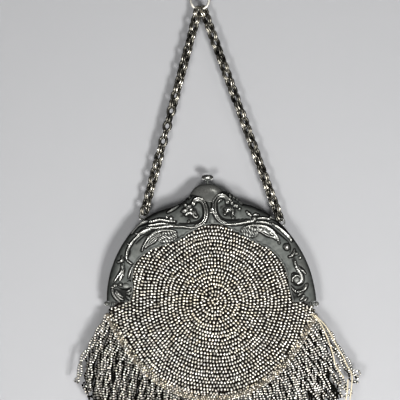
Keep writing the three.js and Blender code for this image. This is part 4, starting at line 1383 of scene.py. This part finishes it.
class PURSE_OT_beads(bpy.types.Operator):
    """Steel beads of both discs, in rounds of crochet from the middle to the rim"""

    bl_idname = "purse.beads"
    bl_label = "Disc beads"

    def execute(self, context):
        settings = context.scene.purse_beads
        for side, toward, seed in (("front", -1.0, 11), ("back", 1.0, 12)):
            for name, make in (("beads", self.disc), ("rim_beads", self.rim)):
                points, faces, values = make(settings, toward, seed)
                add_piece(f"{name}_{side}", points, faces, steel_beads(),
                          values=values)
        return {"FINISHED"}

    @staticmethod
    def rim(settings, toward, seed):
        """Small beads jumbled over the rim: rows at even steps from its edge, nudged and turned by chance.

        Beads that would lie in the hinge ears are left out.
        """
        chance = np.random.default_rng(seed + 20)
        row_start, row_stop, row_step = -0.9, 2.6, 1.05
        angle_start, angle_stop, angle_step = 91.2, 268.8, 1.66
        ear_angle, ear_reach = 104, 54.4
        sunk, sunk_outside = 0.22, 0.1
        width_share = 0.74
        rows, turns = np.meshgrid(np.arange(row_start, row_stop, row_step),
                                  np.arange(angle_start, angle_stop, angle_step), indexing="ij")
        count = rows.size
        past = rows.ravel() + chance.normal(0, 0.13, count)
        odd_row = np.arange(count) // turns.shape[1] % 2
        angle = folded(turns.ravel() + angle_step / 2 * odd_row + chance.normal(0, 0.22, count))
        radius = disc_edge(angle) + past
        x, z = from_top(radius, angle)
        depth = disc_depth(x, z) - sunk - sunk_outside * np.clip(past, 0.0, 3.0)
        depth = depth + chance.normal(0, 0.06, count)
        keep = (np.abs(angle) > ear_angle) | (radius < ear_reach)
        centre = np.stack([x, toward * depth, z], -1)[keep]
        count = len(centre)
        around = np.radians(angle[keep])
        along = unit(np.stack([np.cos(around), np.zeros(count), -np.sin(around)], -1)
                     + chance.normal(0, 0.4, (count, 3)) * np.array([1.0, 0.3, 1.0]))
        up = square_to(np.array([0.0, toward, 0.0]), along)
        side = np.cross(along, up)
        size = width_share * settings.bead_width / MM / 2 * chance.normal(1.0, 0.08, count)[:, None]
        shape, faces = barrel(7, (-1.0, 0.0, 1.0), (0.55, 1.0, 0.55))
        tone = np.clip(chance.normal(0.56, 0.22, count), 0.1, 1.0)
        # Painted light: a painted highlight on the outer side of each rim bead and painted shade towards its
        # ends and underside.
        painted_light = smoothstep(shape[:, 1], -0.3, 0.9) * (1 - 0.85 * np.abs(shape[:, 0]))
        warmth = np.clip(chance.normal(0.36, 0.2, count), 0.0, 1.0)
        return strung((shape, faces), centre, along * size, up * size, side * size, tone, painted_light, warmth)

    @staticmethod
    def rounds(settings, chance):
        """Radius and angle of each bead: a round takes on the beads of the last, set back by a share of one.

        It gains beads in its widest gaps, picked with some chance, until they lie a bead's pitch apart, and
        then the gaps are evened out with their neighbours', as thread does.
        """
        pitch, step = settings.row_pitch / MM, settings.bead_pitch / MM
        setback, evenings, last = 0.33, 14, 54.0
        turn = even_turns(5)
        radii, turns = [], []
        for radius in pitch * np.arange(0.9, last / pitch):
            gaps = np.diff(turn, append=turn[0] + 2 * np.pi)
            extra = round(2 * np.pi * radius / step) - len(turn)
            widest = np.argsort(gaps * chance.normal(1.0, 0.1, len(gaps)))[len(gaps) - max(extra, 0):]
            turn = np.sort(np.concatenate([turn, turn[widest] + gaps[widest] / 2]))
            gaps = np.diff(turn, append=turn[0] + 2 * np.pi)
            for _ in range(evenings):
                gaps = (np.roll(gaps, 1) + 2 * gaps + np.roll(gaps, -1)) / 4
            turn = turn[0] + np.cumsum(gaps) - gaps - setback * step / radius
            radii.append(np.full(len(turn), radius))
            turns.append(turn)
        return np.concatenate(radii), np.concatenate(turns)

    @staticmethod
    def shown(x, z):
        """Which beads show: those within the frame's inner edge and the rim, and clear of its feet."""
        covered, foot_top, foot_bottom, foot_reach = 2.6, 2.5, 0.9, 43.5
        angle = np.degrees(np.arctan2(np.abs(x), z))
        arch = np.clip(np.degrees(np.arctan2(x, z)), -90, 90)
        reach = np.hypot(x, z)
        under = np.where(z > foot_top, from_table(FRAME_OUTLINE, "inner", arch) + covered, 99.0)
        past = reach - disc_edge(angle)
        beside = (z > foot_top) | (z < foot_bottom) | (reach < foot_reach)
        return (past < -0.4 - 1.2 * (angle > 91)) & (reach < under) & beside

    @staticmethod
    def facing(x, z, toward):
        """Outward direction of the dished face at points, from the slope of its depth along x and z."""
        slip = 0.4
        out_x = (disc_depth(x + slip, z) - disc_depth(x - slip, z)) / (2 * slip)
        out_z = (disc_depth(x, z + slip) - disc_depth(x, z - slip)) / (2 * slip)
        return unit(np.stack([-out_x, np.full(len(x), toward), -out_z], -1))

    @classmethod
    def disc(cls, settings, toward, seed):
        """The rounds of beads laid on the dished face, each bead along its round and square to the face.

        Each place is shifted along x and z by a slow sine. Tone and warmth rise towards the middle, by a
        smooth step of the distance from it.
        """
        chance = np.random.default_rng(seed)
        middle_x, middle_z, wave, sunk = 1.6, 1.4, 0.3, 0.42
        radius, around = cls.rounds(settings, chance)
        count = len(radius)
        radius = radius + chance.normal(0, 0.17, count)
        around = around + chance.normal(0, 0.08, count) / radius
        x, z = middle_x + radius * np.sin(around), middle_z + radius * np.cos(around)
        x = x + wave * np.sin(0.25 * z + 1.0)
        z = z + wave * np.sin(0.22 * x + 2.0)
        keep = cls.shown(x, z)
        x, z, around = x[keep], z[keep], around[keep]
        count = len(x)
        depth = disc_depth(x, z) - sunk + chance.normal(0, 0.05, count)
        centre = np.stack([x, toward * depth, z], -1)
        out = cls.facing(x, z, toward)
        tilt = chance.normal(0, 0.14, count)
        along = np.stack([np.cos(around + tilt), chance.normal(0, 0.08, count), -np.sin(around + tilt)], -1)
        along = square_to(along, out)
        side = np.cross(along, out)
        width = settings.bead_width / MM / 2 * chance.normal(1.0, 0.04, count)[:, None]
        length = settings.bead_length / MM / 2 * chance.normal(1.0, 0.05, count)[:, None]
        shape, faces = barrel(7, (-1.0, -0.62, 0.0, 0.62, 1.0), (0.42, 0.85, 1.0, 0.85, 0.42))
        inner = 1 - smoothstep(np.hypot(x, z), 4.0, 34.0)
        tone = np.clip(chance.normal(0.77, 0.14, count), 0.25, 1.1) * (1 + 0.2 * inner)
        # Painted light: a painted highlight on each bead's crown and painted shade on its sides and ends,
        # which makes the dark gaps between beads.
        painted_light = smoothstep(shape[:, 1], -0.2, 0.9) * (1 - 0.97 * smoothstep(np.abs(shape[:, 0]), 0.2, 0.95))
        warmth = np.clip(chance.normal(0.15, 0.15, count) + 0.2 * inner, 0.0, 1.0)
        return strung((shape, faces), centre, along * length, out * width, side * width, tone, painted_light, warmth)


class PURSE_OT_welt(bpy.types.Operator):
    """The twisted welt that closes the lower rim"""

    bl_idname = "purse.welt"
    bl_label = "Rim welt"

    def execute(self, context):
        settings = context.scene.purse_thread
        material = thread_material("welt_thread", settings.welt, (0.03, 0.022, 0.014), 3600.0)
        gap = 0.3
        angle = folded(np.linspace(95.0, 265.0, 520))
        radius = settings.welt_width / MM / 2
        x, z = from_top(disc_edge(angle) + gap + radius, angle)
        route = np.stack([x, np.zeros_like(x), z], -1)
        points, faces, values = twisted(route, radius, 20, ply=0.14, turns=0.62)
        add_piece("rim_welt", points, faces, material, nodes=("rim_edging",),
                  values=values)
        return {"FINISHED"}


class PURSE_OT_fringe(bpy.types.Operator):
    """Loops of two bead strings twisted on each other: a front row, a middle one painted near black as shade,
    and a back row
    """

    bl_idname = "purse.fringe"
    bl_label = "Bead fringe"

    def execute(self, context):
        settings = context.scene.purse_fringe
        wide, dull = settings.loops, int(1.1 * settings.loops)
        for name, loops, layer, widest, sides, seed in (
                ("fringe_front", wide, -1.4, 84.5, 6, 21),
                ("fringe_middle", dull, 0.0, 77.0, 4, 22),
                ("fringe_back", wide - 1, 1.4, 83.0, 5, 23)):
            points, faces, values = self.row(settings, loops, layer, widest, sides, seed)
            nodes = ("fringe",) if layer < 0 else ()
            # The middle row gets the near-black beads, painted shade between the front and back rows.
            material = steel_beads() if layer else shaded_beads()
            add_piece(name, points, faces, material, nodes=nodes, values=values)
        return {"FINISHED"}

    @staticmethod
    def hung(settings, root, length, chance):
        """Line of each loop, down it and up again, as x and z, with its lean and its share of the way down.

        The line leaves the rim at a share of the rim's angle and turns towards upright as it hangs, more on
        the left than on the right. The sum of its small steps gives its points, which two sines sway.
        """
        below_rim = 1.2
        out, right = np.abs(root), root > 0
        flare = np.where(right, 10.0 * smoothstep(root, 76, 84), -7.0 * smoothstep(out, 62, 84))
        leave = settings.splay * root + flare + chance.normal(0, 1.6, len(root))
        kept = np.where(right, 0.4 + 0.6 * smoothstep(out, 50, 82), 0.2 + 0.5 * smoothstep(out, 83, 84.5))
        beads = int(settings.length / settings.bead_pitch)
        down = (np.arange(beads) + 0.5) / beads
        turned_down = smoothstep(down, 0.12, 0.75)[None, :]
        lean = np.radians(leave[:, None] * (1 - (1 - kept[:, None]) * turned_down))
        step = length[:, None] / beads
        sunk_x, sunk_z = np.cumsum(step * np.sin(lean), axis=1), np.cumsum(step * np.cos(lean), axis=1)
        share, bend = down_and_up(down[None, :]), down_and_up(lean)
        start_x, start_z = from_top(disc_edge(180 - out) + below_rim, root)
        wave = chance.uniform(0, 6.28, (2, len(root), 1))
        sway = (0.8 * np.sin(share * 7.0 + wave[0]) + 0.6 * np.sin(share * 16.0 + wave[1])) * np.sqrt(share)
        x = start_x[:, None] + down_and_up(sunk_x) + sway * np.cos(bend)
        z = -start_z[:, None] - down_and_up(sunk_z) + sway * np.sin(bend)
        return x, z, bend, share

    @classmethod
    def row(cls, settings, loops, layer, widest, sides, seed):
        """Each string goes down a helix about its loop's line, round the end, and up the opposite helix.

        The helix has the spread as its radius, which opens to a small eye at the end of the loop. Every other
        loop lies deeper and is painted darker, as painted shade. The strings of the middle layer hang nearly
        untwisted.
        """
        chance = np.random.default_rng(seed)
        crowding, bead_share = 0.1, 0.96
        place = np.linspace(-1.0, 1.0, loops)
        root = widest * place * (1 - crowding * place ** 2) / (1 - crowding) + chance.normal(0, 0.3, loops)
        length = settings.length / MM * np.clip(chance.normal(1.0, 0.035, loops), 0.9, 1.07)
        line_x, line_z, bend, share = cls.hung(settings, root, length, chance)
        loop_beads = share.shape[1]
        second = np.repeat([[0.0, 1.0]], loop_beads // 2, axis=1)
        hang = length[:, None] * share
        phase = chance.uniform(0, 2 * np.pi, loops)[:, None] + np.pi * second
        turn = phase + 2 * np.pi * hang / (settings.twist / MM) * chance.normal(1.0, 0.08, loops)[:, None]
        if not layer:
            turn = np.pi * second + 0.3 * np.sin(turn)
        eye = 0.9 * np.sin(np.pi * np.clip((share - 0.88) / 0.12, 0, 1))
        spread = settings.spread / MM * (1.0 + eye - 0.55 * smoothstep(share, 0.93, 0.985))
        across = spread * np.cos(turn)
        deep = np.arange(loops) % 2 * smoothstep(np.abs(root), 15, 45)
        back = (layer * (1 - 0.6 * deep) + 0.25 * np.sign(layer) * chance.normal(0, 1, loops))[:, None]
        depth = back * (0.55 + 0.45 * smoothstep(share, 0.0, 0.16)) + spread * np.sin(turn)
        centre = np.stack([line_x + across * np.cos(bend), depth, line_z + across * np.sin(bend)], -1)
        along = unit(np.gradient(centre, axis=1)).reshape(-1, 3)
        centre = centre.reshape(-1, 3)
        count = len(centre)
        toward = np.array([0.0, math.copysign(1.0, layer), 0.0]) + chance.normal(0, 0.2, (count, 3))
        up = square_to(toward, along)
        side = np.cross(along, up)
        width = settings.bead_width / MM / 2 * chance.normal(1.0, 0.05, count)[:, None]
        half = settings.bead_pitch / MM / 2 * bead_share
        shape, faces = barrel(sides, (-1.0, 0.0, 1.0), (0.55, 1.0, 0.55))
        tone = np.clip(chance.normal(1.08, 0.27, count), 0.3, 1.4)
        # Painted light and shade per loop: loops on the right are lighter, as if lit more, and the deeper
        # loops darker, as if in the shade of the front ones.
        loop_painted_shade = np.where(root > 0, 1.03, 0.9) - np.where(root > 0, 0.15, 0.6) * deep
        tone = tone * np.repeat(loop_painted_shade, loop_beads)
        # Painted light: a painted highlight on the middle of each fringe bead's front and painted shade
        # towards its ends and back.
        painted_light = (1 - np.abs(shape[:, 0])) * smoothstep(shape[:, 1], -0.2, 0.95)
        warmth = np.clip(chance.normal(0.06, 0.15, count), 0.0, 1.0)
        return strung((shape, faces), centre, along * half, up * width, side * width, tone, painted_light, warmth)


class PURSE_OT_silver_frame(bpy.types.Operator):
    """The two stamped halves of the frame, with their hinge ears and the eyes for the chain"""

    bl_idname = "purse.silver_frame"
    bl_label = "Stamped frame"

    def execute(self, context):
        for name, node, toward, columns in (
                ("frame_front", "front_frame", -1.0, 920), ("frame_back", "back_frame", 1.0, 560)):
            points, faces, values = frame_half(toward, columns)
            add_piece(name, points, faces, frame_silver(), nodes=(node,),
                      values=values)
        points, faces = joined([lug(toward, side) for toward in (-1.0, 1.0) for side in (-1.0, 1.0)])
        add_piece("hinge_ears", points, faces, frame_silver(), smooth=False,
                  values={"rub": np.full(len(points), 0.09)})
        points, faces = joined([hoop(EYE_RADIUS, EYE_WIRE, 28, 10, eye_centre(side)) for side in (-1, 1)])
        add_piece("chain_eyes", points, faces, plain_silver())
        return {"FINISHED"}


class PURSE_OT_clasp(bpy.types.Operator):
    """The domed cap over the clasp and the button that is pressed down through it"""

    bl_idname = "purse.clasp"
    bl_label = "Clasp"

    def execute(self, context):
        points, faces = self.cap()
        add_piece("clasp_cap", points, faces, plain_silver(), nodes=("catch_cap",))
        points, faces = self.button()
        settings = context.scene.purse_frame
        worn = silver_material("button_silver", settings.silver, settings.tarnish, 0.14, 260.0)
        # Rub rises only over the head's top: a painted highlight there and painted shade on its underside.
        rub = 0.04 + 0.7 * smoothstep(points[:, 2], 65.8, 66.8)
        add_piece("clasp_plunger", points, faces, worn, body="button", nodes=("clasp_button",),
                  values={"rub": rub})
        return {"FINISHED"}

    @staticmethod
    def cap():
        """A dome over a bore: superelliptic rings, reaching as an angle's cosine and rising as its sine."""
        middle = ((CAP_BOX[0].x + CAP_BOX[1].x) / 2 - HINGE_MIDDLE[0]) / MM
        half_width, half_depth = 9.9, 5.3
        top, foot, bore = 63.4, 53.6, 1.05
        steps, rings = 96, 26
        around = np.linspace(0, 2 * np.pi, steps, endpoint=False)[None, :]
        rise = np.linspace(0, np.pi / 2, rings)[:, None]
        reach = np.cos(rise) ** 0.8
        square = 0.72 + 0.28 * (1 - reach)
        plan_x = np.sign(np.cos(around)) * np.abs(np.cos(around)) ** square
        plan_y = np.sign(np.sin(around)) * np.abs(np.sin(around)) ** square
        dome_x = np.maximum(half_width * reach, bore) * plan_x
        dome_y = np.maximum(half_depth * reach, bore) * plan_y
        dome_z = np.broadcast_to(foot + (top - foot) * np.sin(rise), dome_x.shape)
        inside = np.array([top, (top + foot) / 2, foot])[:, None] * np.ones_like(around)
        xs = np.vstack([dome_x[:-1], np.repeat(bore * np.cos(around), 3, axis=0)])
        ys = np.vstack([dome_y[:-1], np.repeat(bore * np.sin(around), 3, axis=0)])
        zs = np.vstack([dome_z[:-1], inside])
        points = np.stack([middle + xs, ys, zs], -1).reshape(-1, 3)
        return points, outward(points, grid_faces(len(xs), steps, wrap_rows=True, wrap_columns=True))

    @staticmethod
    def button():
        """A turned mushroom: a straight post, a hollowed neck and a head that is a flat ellipse across."""
        middle = ((BUTTON_BOX[0].x + BUTTON_BOX[1].x) / 2 - HINGE_MIDDLE[0]) / MM
        head_radius, head_half, head_middle = 3.05, 1.5, 66.8
        turn = np.linspace(-0.42 * np.pi, 0.5 * np.pi, 24)
        head = np.stack([head_radius * np.cos(turn) ** 0.7, head_middle + head_half * np.sin(turn)], -1)
        head[-1, 0] = 0.0
        post = np.array([[0.0, 58.2], [0.7, 58.2], [0.75, 58.3], [0.75, 64.6], [0.85, 65.1]])
        points, faces = turned(np.vstack([post, head]), 48)
        return points + np.array([middle, 0.0, 0.0]), faces


class PURSE_OT_rivets(bpy.types.Operator):
    """Ball-headed rivets on the hinge line"""

    bl_idname = "purse.rivets"
    bl_label = "Hinge rivets"

    def execute(self, context):
        radius, reach = 1.25, 55.55
        turn = np.linspace(-0.28 * np.pi, 0.5 * np.pi, 18)
        ball = np.stack([radius * np.cos(turn), reach + radius * np.sin(turn)], -1)
        ball[-1, 0] = 0.0
        stem = np.array([[0.0, 50.8], [1.1, 50.8], [1.3, 51.0], [1.3, 51.35], [0.8, 51.4], [0.8, 54.5]])
        shape, faces = turned(np.vstack([stem, ball]), 32)
        for name, node, side in (("rivet_left", "hinge_pin_left", -1.0),
                                 ("rivet_right", "hinge_pin_right", 1.0)):
            points = np.stack([side * shape[:, 2], shape[:, 0], shape[:, 1]], -1)
            add_piece(name, points, outward(points, faces), plain_silver(), nodes=(node,))
        return {"FINISHED"}


class PURSE_OT_chain(bpy.types.Operator):
    """Both sides of the chain, of doubled round links, and the ring that they hang from"""

    bl_idname = "purse.chain"
    bl_label = "Chain and ring"

    def execute(self, context):
        settings = context.scene.purse_chain
        centre = (np.array((RING_BOX[0] + RING_BOX[1]) / 2) - HINGE_MIDDLE) / MM
        wire = settings.ring_wire / MM / 2
        reach = (RING_BOX[1].z - RING_BOX[0].z) / MM / 2 - wire
        points, faces = hoop(reach, wire, 64, 14, centre)
        turn = np.arctan2(points[:, 2] - centre[2], points[:, 0] - centre[0])
        satin = silver_material("ring_silver", (0.93, 0.90, 0.83), WIRE_FILM, 0.36, 520.0, matt=False)
        add_piece("ring", points, faces, satin, nodes=("hang_ring",),
                  values={"rub": np.clip(0.9 + 0.2 * np.cos(turn), 0, 1)})
        rubbed = silver_material("link_silver", settings.silver, WIRE_FILM, 0.04, 520.0, matt=False)
        for name, node, side, twist, seed in (
                ("links_left", "chain_left", -1, 45, 31), ("links_right", "chain_right", 1, 0, 32)):
            points, faces, values = self.links(settings, centre, reach, side, twist, seed)
            add_piece(name, points, faces, rubbed, nodes=(node,), values=values)
        return {"FINISHED"}

    @staticmethod
    def links(settings, centre, reach, side, twist, seed):
        """Pairs of rings at even steps on a straight line, turned 45 degrees to each side, a little askew.

        A twist, as a bell round a place over half way down, brings some of them face on and edge on.
        """
        chance = np.random.default_rng(seed)
        outer, wide, wire = settings.link_length / MM, settings.link_width / MM, settings.wire / MM
        count = settings.links
        spread = math.radians(CHAIN_ENDS[side].spread)
        top = centre + reach * np.array([side * math.sin(spread), 0.0, -math.cos(spread)])
        line = eye_centre(side) - top
        length = np.linalg.norm(line) - EYE_RADIUS
        along = line / np.linalg.norm(line)
        slack, pair_gap = 0.5, 0.52
        hooked = outer / 2 - wire - slack
        place = hooked + (length - 2 * hooked) / (count - 1) * np.arange(count)
        depth = np.array([0.0, 1.0, 0.0])
        across = np.cross(depth, along)
        bell_place, bell_width = 0.57, 0.12
        bell = np.exp(-((np.arange(count) / count - bell_place) / bell_width) ** 2)
        sign = np.where(np.arange(count) % 2 == 0, 1.0, -1.0)
        roll = math.radians(45) * sign + chance.normal(0, 0.12, count)
        roll += math.radians(twist) * bell
        askew = chance.normal(0, 0.06, (count, 3))
        axis = np.cos(roll)[:, None] * depth + np.sin(roll)[:, None] * across + askew
        axis = unit(axis - along * (axis @ along)[:, None] * 0.6)
        first = square_to(along, axis)
        second = np.cross(axis, first)
        middle = top + along * place[:, None]
        pair = np.array([-1.0, 1.0])[None, :, None] * axis[:, None, :] * (wire * pair_gap)
        middles = (middle[:, None, :] + pair).reshape(-1, 3)
        axes, firsts, seconds = (np.repeat(part, 2, axis=0) for part in (axis, first, second))
        shape, faces = torus((outer - wire) / 2, wire / 2, 20, 7, wide / 2 - wire / 2)
        points, faces = repeated(shape, faces, middles, firsts, seconds, axes)
        rim = np.hypot(shape[:, 0] / (outer / 2), shape[:, 1] / (wide / 2))
        rub = 0.12 + 0.5 * smoothstep(rim, 0.85, 1.0)
        worn = np.clip(chance.normal(0.55, 0.3, len(middles)), 0.1, 1.2)
        worn[:2] = 1.4
        return points, faces, {"rub": np.outer(worn, rub).ravel()}


class PURSE_PT_panel(bpy.types.Panel):
    """Sizes and colours of the purse, and a button for each of its pieces"""

    bl_idname = "PURSE_PT_panel"
    bl_label = "Chatelaine purse"
    bl_space_type = "VIEW_3D"
    bl_region_type = "UI"
    bl_category = "Purse"

    def draw(self, context):
        for label in SETTINGS:
            group = getattr(context.scene, label)
            box = self.layout.box()
            for item in group.bl_rna.properties:
                if not item.is_readonly and item.identifier != "name":
                    box.prop(group, item.identifier)
        for operator in OPERATORS:
            self.layout.operator(operator.bl_idname)


SETTINGS = {
    "purse_frame": FrameSettings,
    "purse_beads": BeadSettings,
    "purse_fringe": FringeSettings,
    "purse_chain": ChainSettings,
    "purse_thread": ThreadSettings,
    "purse_stage": StageSettings,
}

OPERATORS = (
    PURSE_OT_stage,
    PURSE_OT_threads,
    PURSE_OT_crochet,
    PURSE_OT_beads,
    PURSE_OT_welt,
    PURSE_OT_fringe,
    PURSE_OT_silver_frame,
    PURSE_OT_clasp,
    PURSE_OT_rivets,
    PURSE_OT_chain,
)


def register():
    """Register the settings, the operators and the panel, and give the scene its settings."""
    for kind in (*SETTINGS.values(), *OPERATORS, PURSE_PT_panel):
        bpy.utils.register_class(kind)
    for label, kind in SETTINGS.items():
        setattr(bpy.types.Scene, label, bpy.props.PointerProperty(type=kind))


def unregister():
    """Take the settings off the scene and unregister everything, in the opposite order."""
    for label in SETTINGS:
        delattr(bpy.types.Scene, label)
    for kind in (PURSE_PT_panel, *reversed(OPERATORS), *reversed(list(SETTINGS.values()))):
        bpy.utils.unregister_class(kind)


def main():
    """Register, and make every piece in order."""
    register()
    bpy.ops.purse.stage()
    bpy.ops.purse.threads()
    bpy.ops.purse.crochet()
    bpy.ops.purse.beads()
    bpy.ops.purse.welt()
    bpy.ops.purse.fringe()
    bpy.ops.purse.silver_frame()
    bpy.ops.purse.clasp()
    bpy.ops.purse.rivets()
    bpy.ops.purse.chain()


if __name__ == "__main__":
    main()
